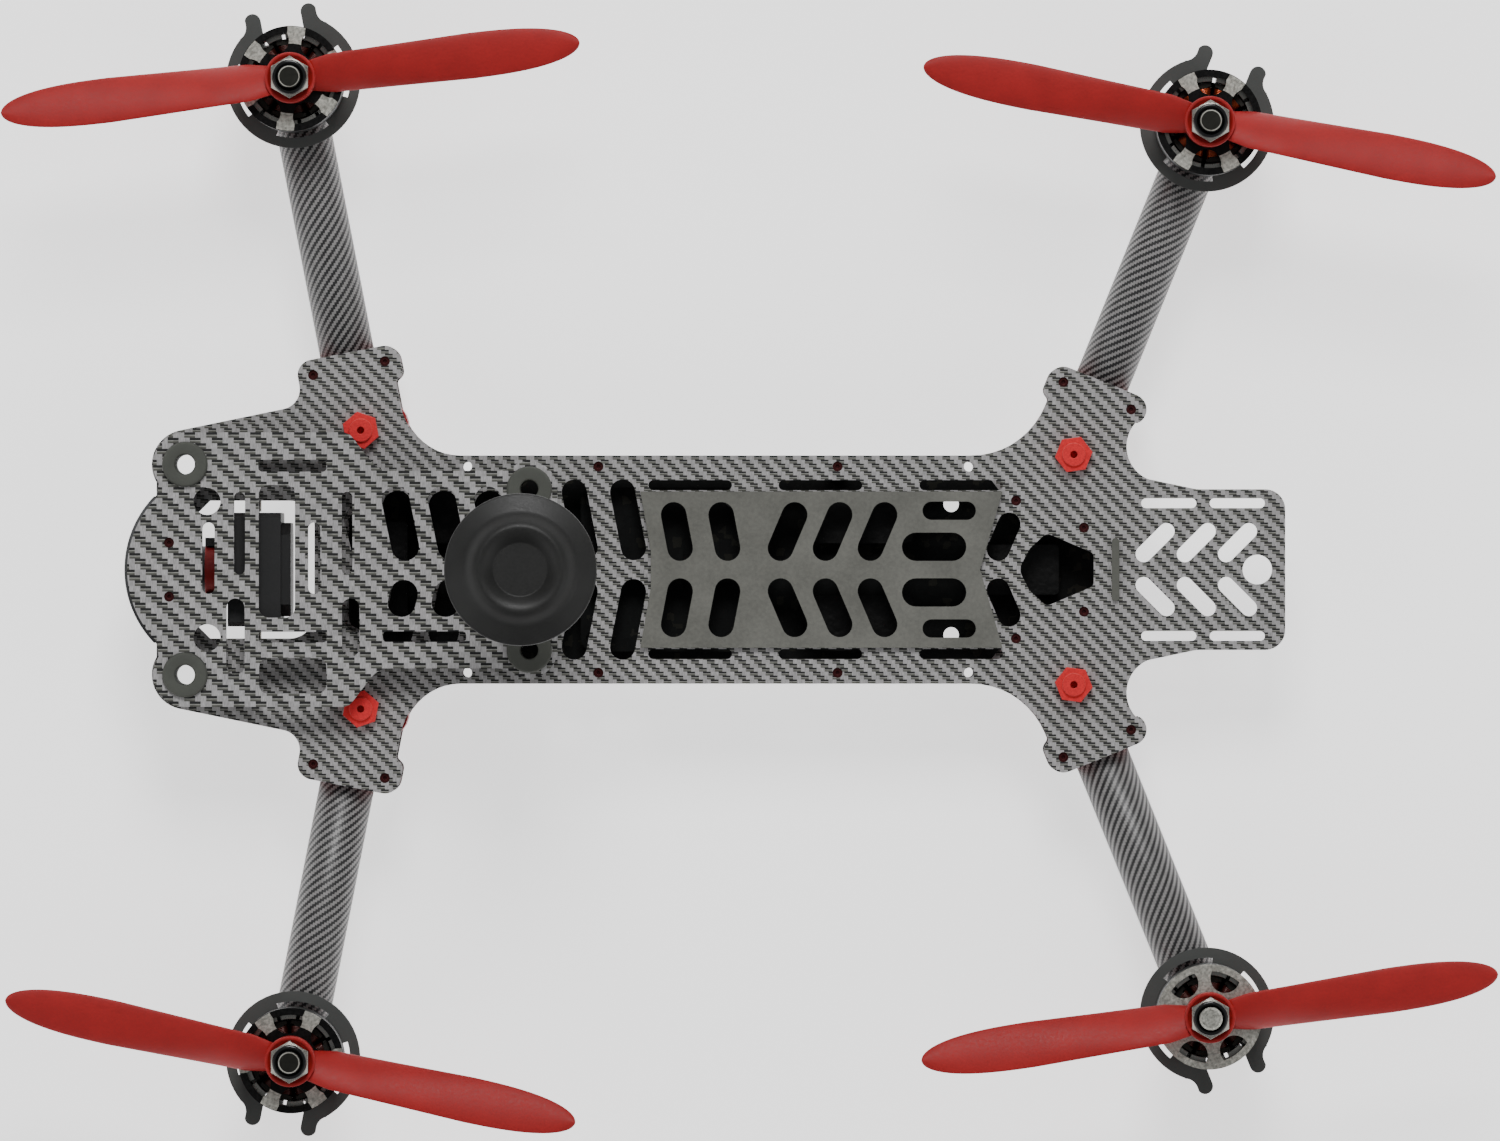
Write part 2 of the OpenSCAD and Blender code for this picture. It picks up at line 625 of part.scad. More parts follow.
module landing_feet() {
    color(rubber) for (i = ARMS) at_motor(i) rotate_extrude()
        polygon([[0, 0], [foot_r - 1.5, 0], [foot_r - 0.4, 0.5], [foot_r, 1.5], [foot_r, foot_h],
                 [0, foot_h]]);
}

// Guard plate around each motor, with two prongs that point outwards
bell_r = bell_d / 2;
guard_r = bell_r + guard_margin;
guard_z = seat_top;
prong_turn = 23.5;
prong_r = 1.75;
prong_at = guard_r + 0.95;
slit_r = bell_r;
slit_half = 1;
prong_gap = prong_at * sin(prong_turn) - prong_r;
prong_tip = prong_at * [cos(prong_turn), sin(prong_turn)];
guard_half = concat([[bell_r - 3.5, prong_gap, 1]], arc(prong_tip, prong_r, -90, 70, 8),
    [[prong_tip[0] - 2.4, prong_tip[1] + prong_r - 0.2, 3]], arc([0, 0], guard_r, 40, 180, 24));
module guard_ring(i) {
    color(matte) at_motor(i) slab(guard_z, guard_t) difference() {
        polygon(outline(concat(guard_half, [for (k = [len(guard_half) - 2 : -1 : 0])
            let (p = guard_half[k]) len(p) > 2 ? [p[0], -p[1], p[2]] : [p[0], -p[1]]])));
        for (a = [90, 180, 270]) rotate(a)
            polygon(concat(arc([0, 0], slit_r + slit_half, -28, 28, 12),
                           arc([0, 0], slit_r - slit_half, 28, -28, 12)));
    }
}

// Motors: the base and the windings stand still, the bell and its magnets turn
base_t = 1.4;
base_z = guard_z + guard_t;
bell_z = base_z + base_t + bell_lift;
bell_top = bell_z + bell_h;
bell_bore = bell_r - bell_wall;
magnet_t = 1.2;
stator_r = bell_bore - magnet_t - air_gap;
stator_z = bell_z + 1.4;
stator_h = bell_h - bell_top_t - 3.4;
housing_r = 3.4;
bearing_r = 2.6;
bearing_h = 2.2;
housing_top = bell_top - bell_top_t - 0.5;
module motor_bases() {
    color(black) for (i = ARMS) at_motor(i) difference() {
        union() {
            translate([0, 0, base_z]) cylinder(h = base_t, r = stator_r + 0.5);
            translate([0, 0, base_z]) cylinder(h = housing_top - base_z, r = housing_r);
        }
        translate([0, 0, base_z - 1]) cylinder(h = 2 + base_t, r = axle_r + 0.4);
        translate([0, 0, base_z + base_t]) cylinder(h = bell_h + 5, r = bearing_r);
    }
}
module motor_bearings() {
    color(silver) for (i = ARMS) at_motor(i) for (z = [base_z + base_t, housing_top - bearing_h])
        slab(z, bearing_h) ring(bearing_r, axle_r + axle_gap);
}
TEETH = 12;
tooth_half = 0.8;
shoe_in = stator_r - 1;
module motor_stators() {
    color(silver) for (i = ARMS) at_motor(i) slab(stator_z, stator_h) difference() {
        polygon([for (k = [0 : TEETH - 1]) let (a = 360 * k / TEETH) each [
            for (p = [[4.9, -tooth_half], [shoe_in, -tooth_half], [shoe_in, -1.7], [stator_r - 0.2, -1.7],
                      [stator_r, 0], [stator_r - 0.2, 1.7], [shoe_in, 1.7], [shoe_in, tooth_half],
                      [4.9, tooth_half]])
                [p[0] * cos(a) - p[1] * sin(a), p[0] * sin(a) + p[1] * cos(a)]]]);
        circle(housing_r);
    }
}
coil_lip = 0.7;
module motor_windings() {
    color(copper) for (i = ARMS) at_motor(i) for (k = [0 : TEETH - 1]) rotate(360 * k / TEETH) difference() {
        slab(stator_z - coil_lip, stator_h + 2 * coil_lip)
            polygon([[5.1, -1.2], [shoe_in, -1.75], [shoe_in, 1.75], [5.1, 1.2]]);
        slab(stator_z, stator_h) translate([4, -tooth_half]) square([shoe_in, 2 * tooth_half]);
    }
}
spoke_half = 1.35;
boss_h = 0.5;
shaft_end = 2;
prop_z = bell_top + boss_h;
nut_z = prop_z + hub_h;
shaft_top = nut_z + nut_h + shaft_end;
// A round window between two spokes, which a rim short of the bell's bore cuts off
window_lip = 0.2;
window_place = 0.91;
rim_share = 0.85;
window_out = bell_bore - window_lip;
window_at = window_place * window_out;
window_r = window_at * sin(30) - spoke_half;
window_x = (pow(window_out, 2) + pow(window_at, 2) - pow(window_r, 2)) / (2 * window_at);
window_rim = acos(window_x / window_out);
window_end = acos((window_x - window_at) / window_r);
module bell_window() {
    polygon(concat(arc([window_at, 0], window_r, window_end, 360 - window_end, 24),
                   arc([0, 0], window_out, -rim_share * window_rim, rim_share * window_rim, 8)));
}
// How far each bell is turned at rest
bell_turn = [4, 23.5, 37.5, 56.5];
module at_bell(i) { translate(motor_at(i)) rotate(bell_turn[i]) children(); }
module motor_bell(i) {
    color(black) at_bell(i) {
        slab(bell_z, bell_h - bell_top_t) ring(bell_r, bell_bore);
        slab(bell_top - bell_top_t, bell_top_t) difference() {
            circle(bell_r);
            for (k = [0 : 5]) rotate(60 * k + 30) bell_window();
        }
        translate([0, 0, base_z + 0.4]) cylinder(h = bell_top - base_z - 0.4, r = axle_r);
        translate([0, 0, bell_top]) cylinder(h = boss_h, r = hub_r - 0.5);
        translate([0, 0, bell_top]) cylinder(h = shaft_top - 0.5 - bell_top, r = prop_shaft_r);
        translate([0, 0, shaft_top - 0.5]) cylinder(h = 0.5, r1 = prop_shaft_r, r2 = prop_shaft_r - 0.5);
    }
}
POLES = 14;
module motor_magnets(i) {
    color(silver) at_bell(i) slab(stator_z, stator_h) difference() {
        ring(bell_bore, bell_bore - magnet_t);
        for (k = [0 : POLES - 1]) rotate(360 * k / POLES) translate([0, -0.4]) square([bell_r, 0.8]);
    }
}

// Propellers: two blades whose pitch angle follows from the pitch, front left then on as ARMS
prop_turn = [-12.2, 7, 8.6, -11];
spin = [-1, 1, 1, -1];
prop_r = prop_d / 2;
prop_fit = 0.05;
rim_h = 0.5;
BLADE_RINGS = 18;
BLADE_SIDES = 16;
blade_start = 4.3;
hub_cover = 1;
// Width of a blade seen from above, at radius r
function blade_width(r) = let (s = r / prop_r, tip = max(0, (s - 0.6) / 0.4))
    blade_w * (0.78 + 0.22 * min(1, s / 0.62)) * sqrt(max(0.0016, 1 - pow(tip, 2.8)))
    * (r < 9 ? 0.8 + 0.2 * (r - blade_start) / (9 - blade_start) : 1);
// The steepest root that stays inside the hub's height
root_angle = atan((hub_h - hub_cover) / blade_width(hub_r));
function blade_angle(r) = min(root_angle, atan(prop_pitch / (2 * PI * r)));
function blade_thick(r) = 1.9 - 1.2 * min(1, r / prop_r);
function blade_point(r, a, hand) = let (w = blade_width(r) / cos(blade_angle(r)), t = cos(a) / 2,
        h = blade_thick(r) * (0.5 * sin(a) + 0.45 * (1 - 4 * t * t)), g = blade_angle(r))
    [r, hand * (w * t * cos(g) - h * sin(g)), w * t * sin(g) + h * cos(g)];
function blade_radius(k) = let (u = k / (BLADE_RINGS - 1))
    blade_start + (prop_r - blade_start) * (1 - pow(1 - u, 1.5));
module blade(hand) {
    n = BLADE_SIDES;
    last = (BLADE_RINGS - 1) * n;
    points = [for (k = [0 : BLADE_RINGS - 1], j = [0 : n - 1])
        blade_point(blade_radius(k), hand * 360 * j / n, hand)];
    sides = [for (k = [0 : BLADE_RINGS - 2], j = [0 : n - 1]) let (b = k * n, m = (j + 1) % n)
        each [[b + j, b + n + j, b + m], [b + m, b + n + j, b + n + m]]];
    polyhedron(points, concat([[for (j = [0 : n - 1]) j]], sides, [[for (j = [n - 1 : -1 : 0]) last + j]]));
}
module propeller(i) {
    color(prop_red) translate([motor_at(i)[0], motor_at(i)[1], prop_z]) rotate(prop_turn[i]) difference() {
        union() {
            cylinder(h = hub_h + rim_h, r = hub_r);
            for (a = [0, 180]) rotate(a) translate([0, 0, hub_h / 2]) blade(spin[i]);
        }
        translate([0, 0, -1]) cylinder(h = hub_h + 3, r = prop_shaft_r + prop_fit);
        translate([0, 0, hub_h]) cylinder(h = 1, r = nut_af / 2 / cos(30) + 0.15);
    }
}
module prop_nut(i) {
    color(silver) translate([motor_at(i)[0], motor_at(i)[1], nut_z]) rotate(30) difference() {
        union() {
            cylinder(h = nut_h - 1.2, d = nut_af / cos(30), $fn = 6);
            translate([0, 0, nut_h - 1.2]) cylinder(h = 1.2, r = nut_af / 2 - 0.25);
        }
        translate([0, 0, -1]) cylinder(h = nut_h + 2, r = prop_shaft_r);
    }
}

// Flight camera on its pivot, between two brackets under the nose window
camera_x = F + 23.5;
camera_z = tube_z;
camera_half = camera_w / 2;
camera_rear = -6;
camera_tail = 2.1;
pin_depth = 2.5;
bracket_t = 1.6;
bracket_in = camera_half + camera_side_gap;
module face_block(x0, x1, half, cut) {
    translate([camera_x + x0, 0, camera_z]) rotate([90, 0, 90]) linear_extrude(x1 - x0)
        polygon([for (a = [0 : 90 : 270], s = [[half, half - cut], [half - cut, half]])
            [s[0] * cos(a) - s[1] * sin(a), s[0] * sin(a) + s[1] * cos(a)]]);
}
module along_x(x0, x1, r) {
    translate([camera_x + x0, 0, camera_z]) rotate([0, 90, 0]) cylinder(h = x1 - x0, r = r);
}
module camera_case() {
    color(black) difference() {
        union() {
            face_block(camera_rear, camera_rear + camera_l, camera_half, 1);
            face_block(camera_rear - camera_tail, camera_rear, camera_half - 2.2, 2.6);
        }
        for (s = [1, -1]) translate([camera_x, s * (camera_half - pin_depth - 0.3), camera_z])
            rotate([-90 * s, 0, 0]) cylinder(h = 10, r = camera_pin_r + camera_pin_gap);
        along_x(camera_rear + camera_l - 2, camera_rear + camera_l + 1, lens_r - 1);
    }
}
lens_x = camera_rear + camera_l;
lens_step = 2.5;
lens_ring_l = 2.8;
lens_l = 6.7;
lens_ring_r = 5.15;
glass_r = 3.8;
module camera_lens() {
    color(black) difference() {
        union() {
            along_x(lens_x - 2, lens_x, lens_r - 1);
            along_x(lens_x, lens_x + lens_step, lens_r);
            along_x(lens_x + lens_step, lens_x + lens_l, 4.4);
            for (s = [1, -1]) translate([camera_x + lens_x + lens_step + lens_ring_l / 2,
                                         s * (lens_r + lens_ring_r) / 2, camera_z])
                cube([lens_ring_l, lens_r - lens_ring_r, 5], center = true);
            along_x(lens_x + lens_step + lens_ring_l, lens_x + lens_l, lens_ring_r);
        }
        along_x(lens_x + lens_l - 1.5, lens_x + lens_l + 1, glass_r);
    }
}
module camera_lens_ring() {
    color(red) difference() {
        along_x(lens_x + lens_step, lens_x + lens_step + lens_ring_l, lens_ring_r);
        along_x(lens_x, lens_x + lens_l, 4.4);
    }
}
glass_sphere = 12;
module camera_glass() {
    rise = glass_sphere - sqrt(glass_sphere * glass_sphere - glass_r * glass_r);
    color("#22303c") translate([camera_x + lens_x + lens_l - 1.5, 0, camera_z]) rotate([0, 90, 0])
        rotate_extrude() polygon(concat([[0, 0], [glass_r, 0]], [for (k = [0 : 6])
            let (r = glass_r * (1 - k / 6))
            [r, 1.3 - rise + sqrt(glass_sphere * glass_sphere - r * r) - glass_sphere + rise]]));
}
module camera_brackets() {
    color(black) for (s = [1, -1]) difference() {
        union() {
            translate([camera_x - 7.5, s > 0 ? bracket_in : -bracket_in - bracket_t, camera_z - 7])
                cube([15, bracket_t, deck_z - camera_z + 7]);
            translate([camera_x - 7.5, s > 0 ? bracket_in : -bracket_in - 6.5, deck_z - bracket_t])
                cube([15, 6.5, bracket_t]);
        }
        translate([camera_x, s * (bracket_in - 1), camera_z]) rotate([-90 * s, 0, 0])
            cylinder(h = 10, r = camera_pin_r);
    }
}
module camera_pivot_screws() {
    color(silver) for (s = [1, -1]) translate([camera_x, 0, camera_z]) rotate([-90 * s, 0, 0]) {
        translate([0, 0, camera_half - pin_depth])
            cylinder(h = bracket_in + bracket_t - camera_half + pin_depth, r = camera_pin_r);
        translate([0, 0, camera_half + 0.3]) cylinder(h = bracket_in - camera_half - 0.3, r = 1.4);
        difference() {
            translate([0, 0, bracket_in + bracket_t]) cylinder(h = 1.4, r = 1.9);
            translate([0, 0, bracket_in + bracket_t + 0.6]) cylinder(h = 2, r = 0.9, $fn = 6);
        }
    }
}

// Cable tie over the tail, through two holes in the upper plate
tie_t = 1;
module cable_tie() {
    color("#7d7e7a") {
        for (s = [1, -1]) translate([tie_at[0], s * tie_at[1], deck_z - tie_t])
            cylinder(h = plate_t + 2 * tie_t, r = tie_r);
        for (z = [deck_z - tie_t, deck_top])
            translate([tie_at[0] - tie_r, -tie_at[1], z]) cube([2 * tie_r, 2 * tie_at[1], tie_t]);
    }
}

lower_plate();
upper_plate();
camera_plate();
nose_bumper();
damper_grommets();
battery_pad();
power_board();
flight_controller();
board_spacers();
speed_controllers();
receiver();
video_transmitter();
antenna_socket();
antenna_stem();
antenna_cap();
frame_standoffs();
frame_screws();
arm_root_clamps();
arm_edge_clamps();
arm_root_bolts();
landing_feet();
camera_brackets();
camera_pivot_screws();
cable_tie();
motor_bases();
motor_bearings();
motor_stators();
motor_windings();
camera_case();
camera_lens();
camera_lens_ring();
camera_glass();
arm_tube(0);  // front_left_arm_tube
arm_tube(1);  // front_right_arm_tube
arm_tube(2);  // rear_left_arm_tube
arm_tube(3);  // rear_right_arm_tube
motor_seat(0);  // front_left_motor_seat
motor_seat(1);  // front_right_motor_seat
motor_seat(2);  // rear_left_motor_seat
motor_seat(3);  // rear_right_motor_seat
guard_ring(0);  // front_left_guard_ring
guard_ring(1);  // front_right_guard_ring
guard_ring(2);  // rear_left_guard_ring
guard_ring(3);  // rear_right_guard_ring
motor_bell(0);  // front_left_motor_bell
motor_bell(1);  // front_right_motor_bell
motor_bell(2);  // rear_left_motor_bell
motor_bell(3);  // rear_right_motor_bell
motor_magnets(0);  // front_left_motor_magnets
motor_magnets(1);  // front_right_motor_magnets
motor_magnets(2);  // rear_left_motor_magnets
motor_magnets(3);  // rear_right_motor_magnets
propeller(0);  // front_left_propeller
propeller(1);  // front_right_propeller
propeller(2);  // rear_left_propeller
propeller(3);  // rear_right_propeller
prop_nut(0);  // front_left_prop_nut
prop_nut(1);  // front_right_prop_nut
prop_nut(2);  // rear_left_prop_nut
prop_nut(3);  // rear_right_prop_nut
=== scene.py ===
"""Looks of a racing quadcopter: carbon plates and tubes, red anodised fittings, red propellers."""
import math
import bpy
import numpy as np
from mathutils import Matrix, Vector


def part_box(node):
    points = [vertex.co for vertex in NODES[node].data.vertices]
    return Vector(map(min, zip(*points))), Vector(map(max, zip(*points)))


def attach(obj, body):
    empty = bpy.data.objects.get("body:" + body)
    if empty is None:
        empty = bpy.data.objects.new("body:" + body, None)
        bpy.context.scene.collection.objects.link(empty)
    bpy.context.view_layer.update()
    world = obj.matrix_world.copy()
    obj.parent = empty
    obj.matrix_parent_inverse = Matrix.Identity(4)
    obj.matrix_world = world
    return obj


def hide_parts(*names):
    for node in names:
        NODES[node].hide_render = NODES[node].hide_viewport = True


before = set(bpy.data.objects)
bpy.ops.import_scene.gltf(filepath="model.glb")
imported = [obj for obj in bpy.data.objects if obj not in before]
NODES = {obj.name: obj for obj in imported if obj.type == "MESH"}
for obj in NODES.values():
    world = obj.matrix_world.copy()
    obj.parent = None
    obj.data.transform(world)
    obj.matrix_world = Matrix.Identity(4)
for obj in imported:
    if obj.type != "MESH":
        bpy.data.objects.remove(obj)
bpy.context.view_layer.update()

ARMS = ["front_left", "front_right", "rear_left", "rear_right"]
MM = 0.001

# ---- camera -----------------------------------------------------------------------------------
VIEW_WIDTH = 0.3273
CAMERA_HEIGHT = 3.0
SENSOR = 36.0
SUBJECT_Z = 0.040
MIDDLE_Y = 0.0002
FAR_CLIP = 50.0
camera = bpy.data.objects.new("camera", bpy.data.cameras.new("camera"))
bpy.context.scene.collection.objects.link(camera)
camera.location = (0.0, MIDDLE_Y, CAMERA_HEIGHT + SUBJECT_Z)
camera.rotation_euler = (0.0, 0.0, math.pi)
camera.data.sensor_width = SENSOR
camera.data.lens = SENSOR * CAMERA_HEIGHT / VIEW_WIDTH
camera.data.clip_end = FAR_CLIP
bpy.context.scene.camera = camera


# ---- material tools ---------------------------------------------------------------------------
def colour(text):
    """sRGB hex to linear RGBA."""
    c = np.array([int(text[k:k + 2], 16) for k in (1, 3, 5)]) / 255.0
    lin = np.where(c <= 0.04045, c / 12.92, ((c + 0.055) / 1.055) ** 2.4)
    return (*[float(v) for v in lin], 1.0)


def add(tree, kind, sockets=None, out=0, stops=(), **settings):
    """Adds one node and gives its output `out`. Settings are its properties, sockets its inputs, each a
    value or an output to join, and stops a colour ramp's places and colours."""
    node = tree.nodes.new("ShaderNode" + kind)
    for key, value in settings.items():
        setattr(node, key, value)
    for key, value in (sockets or {}).items():
        if isinstance(value, bpy.types.NodeSocket):
            tree.links.new(value, node.inputs[key])
        else:
            node.inputs[key].default_value = value
    for k, (place, text) in enumerate(stops):
        dots = node.color_ramp.elements
        dot = dots.new(place) if 0 < k < len(stops) - 1 else dots[0 if k == 0 else -1]
        dot.position, dot.color = place, colour(text)
    return node.outputs[out] if node.outputs else None


def new_finish(name):
    """An empty material and its node tree."""
    m = bpy.data.materials.new(name)
    m.use_nodes = True
    m.node_tree.nodes.clear()
    return m, m.node_tree


def moulded(name, base, roughness, grain, spread=0.12, depth=0.02, more=None):
    """A moulded or cut surface: its grain, so many mm across, stands depth mm proud, and with a drift 14
    times as wide it makes the colour lighter and darker by the share spread. More holds further sockets."""
    m, t = new_finish(name)
    at = add(t, "TexCoord", out="Object")
    fine = add(t, "TexNoise", {"Vector": at, "Scale": 1 / (grain * MM), "Detail": 3.0})
    slow = add(t, "TexNoise", {"Vector": at, "Scale": 1 / (14 * grain * MM), "Detail": 3.0})
    both = add(t, "Math", {0: add(t, "Math", {0: fine, 1: slow}, operation="ADD"), 1: 0.5},
               operation="MULTIPLY")
    value = add(t, "MapRange", {0: both, 1: 0.36, 2: 0.64, 3: 1 - spread, 4: 1 + spread})
    shader = add(t, "BsdfPrincipled", {
        "Base Color": add(t, "HueSaturation", {"Color": colour(base), "Value": value}),
        "Roughness": add(t, "MapRange", {0: fine, 1: 0.3, 2: 0.7, 3: roughness * 0.86,
                                         4: min(1.0, roughness * 1.16)}),
        "Normal": add(t, "Bump", {"Height": fine, "Distance": depth * MM}), **(more or {})})
    add(t, "OutputMaterial", {0: shader})
    return m


def metal(name, base, edge, roughness, metallic=1.0, grain=0.35, spread=0.1):
    """A machined metal: fine etched grain, and edges painted paler in the edge colour, a painted highlight
    where a rounded edge would catch the light. An edge is where the face's own way and the way a 0.2 mm
    round would look part by more than about 15 degrees."""
    m, t = new_finish(name)
    at = add(t, "TexCoord", out="Object")
    fine = add(t, "TexNoise", {"Vector": at, "Scale": 1 / (grain * MM), "Detail": 3.0})
    round_way = add(t, "Bevel", {"Radius": 0.2 * MM}, samples=4)
    apart = add(t, "VectorMath", {0: round_way, 1: add(t, "NewGeometry", out="Normal")}, out="Value",
                operation="DOT_PRODUCT")
    # Painted highlight: edges take the paler edge colour.
    edge_highlight = add(t, "Math", {0: add(t, "MapRange", {0: apart, 1: 0.97, 2: 0.8}), 1: fine},
                 operation="MULTIPLY")
    value = add(t, "MapRange", {0: fine, 1: 0.36, 2: 0.64, 3: 1 - spread, 4: 1 + spread})
    body = add(t, "HueSaturation", {"Color": colour(base), "Value": value})
    shader = add(t, "BsdfPrincipled", {
        "Base Color": add(t, "Mix", {0: edge_highlight, 6: body, 7: colour(edge)}, out=2, data_type="RGBA"),
        "Roughness": add(t, "MapRange", {0: fine, 1: 0.3, 2: 0.7, 3: roughness * 0.85, 4: roughness * 1.15}),
        "Metallic": metallic,
        "Normal": add(t, "Bump", {"Height": fine, "Distance": 0.006 * MM, "Normal": round_way})})
    add(t, "OutputMaterial", {0: shader})
    return m


def woven(name, tow, warp_painted_sheen_hex, weft, hand, wrapped=False, roughness=0.42, ply=0.25):
    """2/2 twill of tows so many mm wide. On a grid of tows, the weft shows where (column + hand x row) mod 4
    is under 2, the warp elsewhere. The weave's colours are painted light: the warp's pale colour is a
    painted sheen, and the weft's stops go across the tow, from a painted shadow under its neighbour to its
    far side, holding a painted highlight on the laminate. Fibres run along each tow. Cut edges show the
    plies instead, ply mm thick."""
    m, t = new_finish(name)
    at = add(t, "TexCoord", out="Object")
    where = add(t, "UVMap", uv_map="around") if wrapped else at
    grid = add(t, "Mapping", {0: where, 3: (1 / (tow * MM),) * 3})
    u, v = (add(t, "SeparateXYZ", {0: grid}, out=k) for k in (0, 1))
    column, row = (add(t, "Math", {0: k}, operation="FLOOR") for k in (u, v))
    count = add(t, "Math", {0: row, 1: hand, 2: column}, operation="MULTIPLY_ADD")
    step = add(t, "Math", {0: count, 1: 4.0}, operation="FLOORED_MODULO")
    is_weft = add(t, "Math", {0: step, 1: 1.5}, operation="LESS_THAN")
    across = add(t, "Mix", {0: is_weft, 2: u, 3: v})
    along = add(t, "Mix", {0: is_weft, 2: v, 3: u})
    share = add(t, "Math", {0: across}, operation="FRACT")
    threads = add(t, "CombineXYZ", {0: add(t, "Math", {0: across, 1: 7.0}, operation="MULTIPLY"), 1: along})
    fibre = add(t, "TexNoise", {"Vector": threads, "Scale": 1.0, "Detail": 2.0})
    cell = add(t, "TexWhiteNoise", {"Vector": add(t, "CombineXYZ", {0: column, 1: row})})
    value = add(t, "Math", {0: add(t, "Math", {0: fibre, 1: 1.3, 2: 0.3}, operation="MULTIPLY_ADD"),
                            1: add(t, "MapRange", {0: cell, 3: 0.9, 4: 1.1})}, operation="MULTIPLY")
    # Painted light: a pale painted sheen on the warp, painted shade and a painted highlight across the weft.
    weave_painted_light = add(t, "Mix", {0: is_weft, 6: colour(warp_painted_sheen_hex), 7: add(t, "ValToRGB", {0: share}, stops=weft)},
              out=2, data_type="RGBA")
    cloth = add(t, "HueSaturation", {"Color": weave_painted_light, "Value": value})
    if not wrapped:
        upright = add(t, "SeparateXYZ", {0: add(t, "NewGeometry", out="Normal")}, out=2)
        flat = add(t, "Math", {0: add(t, "Math", {0: upright}, operation="ABSOLUTE"), 1: 0.5},
                   operation="GREATER_THAN")
        layer = add(t, "Math", {0: add(t, "SeparateXYZ", {0: at}, out=2), 1: ply * MM}, operation="DIVIDE")
        edge = add(t, "ValToRGB", {0: add(t, "Math", {0: layer}, operation="FRACT")},
                   stops=[(0.0, "#0c0c0d"), (0.5, "#2b2b2d"), (1.0, "#141415")])
        cloth = add(t, "Mix", {0: flat, 6: edge, 7: cloth}, out=2, data_type="RGBA")
    crown = add(t, "Math", {0: add(t, "Math", {0: share, 1: math.pi}, operation="MULTIPLY")},
                operation="SINE")
    shader = add(t, "BsdfPrincipled", {
        "Base Color": cloth, "Roughness": roughness, "Coat Weight": 0.12, "Coat Roughness": 0.2,
        "Normal": add(t, "Bump", {"Height": crown, "Distance": 0.03 * MM, "Strength": 0.5})})
    add(t, "OutputMaterial", {0: shader})
    return m


def bell_finish(name, centre, turn, all_bare):
    """Black anodising, cut back to bare metal on six spoke faces: where the distance from the axis is
    between 7.6 and 11.4 mm, within 1.95 mm of a spoke's middle line, and the face looks up. A bell that is
    all bare has no anodising on any face that looks up. The shaft's end is dull, with a painted highlight
    ring 2.1 to 2.3 mm from the axis, where its chamfer would catch the light. Turning marks are rings round
    the axis."""
    m, t = new_finish(name)
    own = add(t, "Mapping", {0: add(t, "TexCoord", out="Object"), 1: (*centre, 0.0), 2: (0.0, 0.0, turn)},
              vector_type="TEXTURE")
    flat = add(t, "VectorMath", {0: own, 1: (1.0, 1.0, 0.0)}, operation="MULTIPLY")
    radius = add(t, "VectorMath", {0: flat}, out="Value", operation="LENGTH")
    x, y = (add(t, "SeparateXYZ", {0: own}, out=k) for k in (0, 1))
    angle = add(t, "Math", {0: y, 1: x}, operation="ARCTAN2")
    fold = add(t, "Math", {0: angle, 1: math.radians(30), 2: math.radians(-30)}, operation="WRAP")
    off = add(t, "Math", {0: add(t, "Math", {0: fold}, operation="SINE"), 1: radius}, operation="MULTIPLY")
    in_ring = add(t, "Math", {0: radius, 1: 9.5 * MM, 2: 1.9 * MM}, operation="COMPARE")
    on_spoke = add(t, "Math", {0: off, 1: 0.0, 2: 1.95 * MM}, operation="COMPARE")
    cut = add(t, "Math", {0: in_ring, 1: on_spoke}, operation="MULTIPLY")
    up = add(t, "Math", {0: add(t, "SeparateXYZ", {0: add(t, "NewGeometry", out="Normal")}, out=2), 1: 0.6},
             operation="GREATER_THAN")
    bare = up if all_bare else add(t, "Math", {0: cut, 1: up}, operation="MULTIPLY")
    rings = add(t, "TexNoise", {"Vector": add(t, "CombineXYZ", {0: radius}), "Scale": 1 / (0.12 * MM)})
    pits = add(t, "TexNoise", {"Vector": own, "Scale": 1 / (0.5 * MM), "Detail": 3.0})
    mixed = add(t, "Math", {0: add(t, "Math", {0: rings, 1: pits}, operation="ADD"), 1: 0.5},
                operation="MULTIPLY")
    shine = add(t, "ValToRGB", {0: mixed}, stops=[(0.3, "#6f6e67"), (0.7, "#d8d7cd")])
    black = add(t, "ValToRGB", {0: mixed}, stops=[(0.3, "#0b0b0b"), (0.7, "#1d1d1d")])
    reach = add(t, "Math", {0: radius, 1: 10 * MM}, operation="DIVIDE")
    # Painted highlight: a pale ring on the shaft's end, where a chamfer would catch the light.
    end = add(t, "ValToRGB", {0: reach}, stops=[(0.0, "#2b2b27"), (0.205, "#2b2b27"), (0.215, "#a5a49b"),
                                                (0.228, "#a5a49b"), (0.235, "#0e0e0e")])
    on_shaft = add(t, "Math", {0: reach, 1: 0.26}, operation="LESS_THAN")
    black = add(t, "Mix", {0: on_shaft, 6: black, 7: end}, out=2, data_type="RGBA")
    shader = add(t, "BsdfPrincipled", {
        "Base Color": add(t, "Mix", {0: bare, 6: black, 7: shine}, out=2, data_type="RGBA"),
        "Metallic": 0.85,
        "Roughness": add(t, "MapRange", {0: pits, 1: 0.3, 2: 0.7, 3: 0.32, 4: 0.5}),
        "Normal": add(t, "Bump", {"Height": rings, "Distance": 0.01 * MM})})
    add(t, "OutputMaterial", {0: shader})
    return m


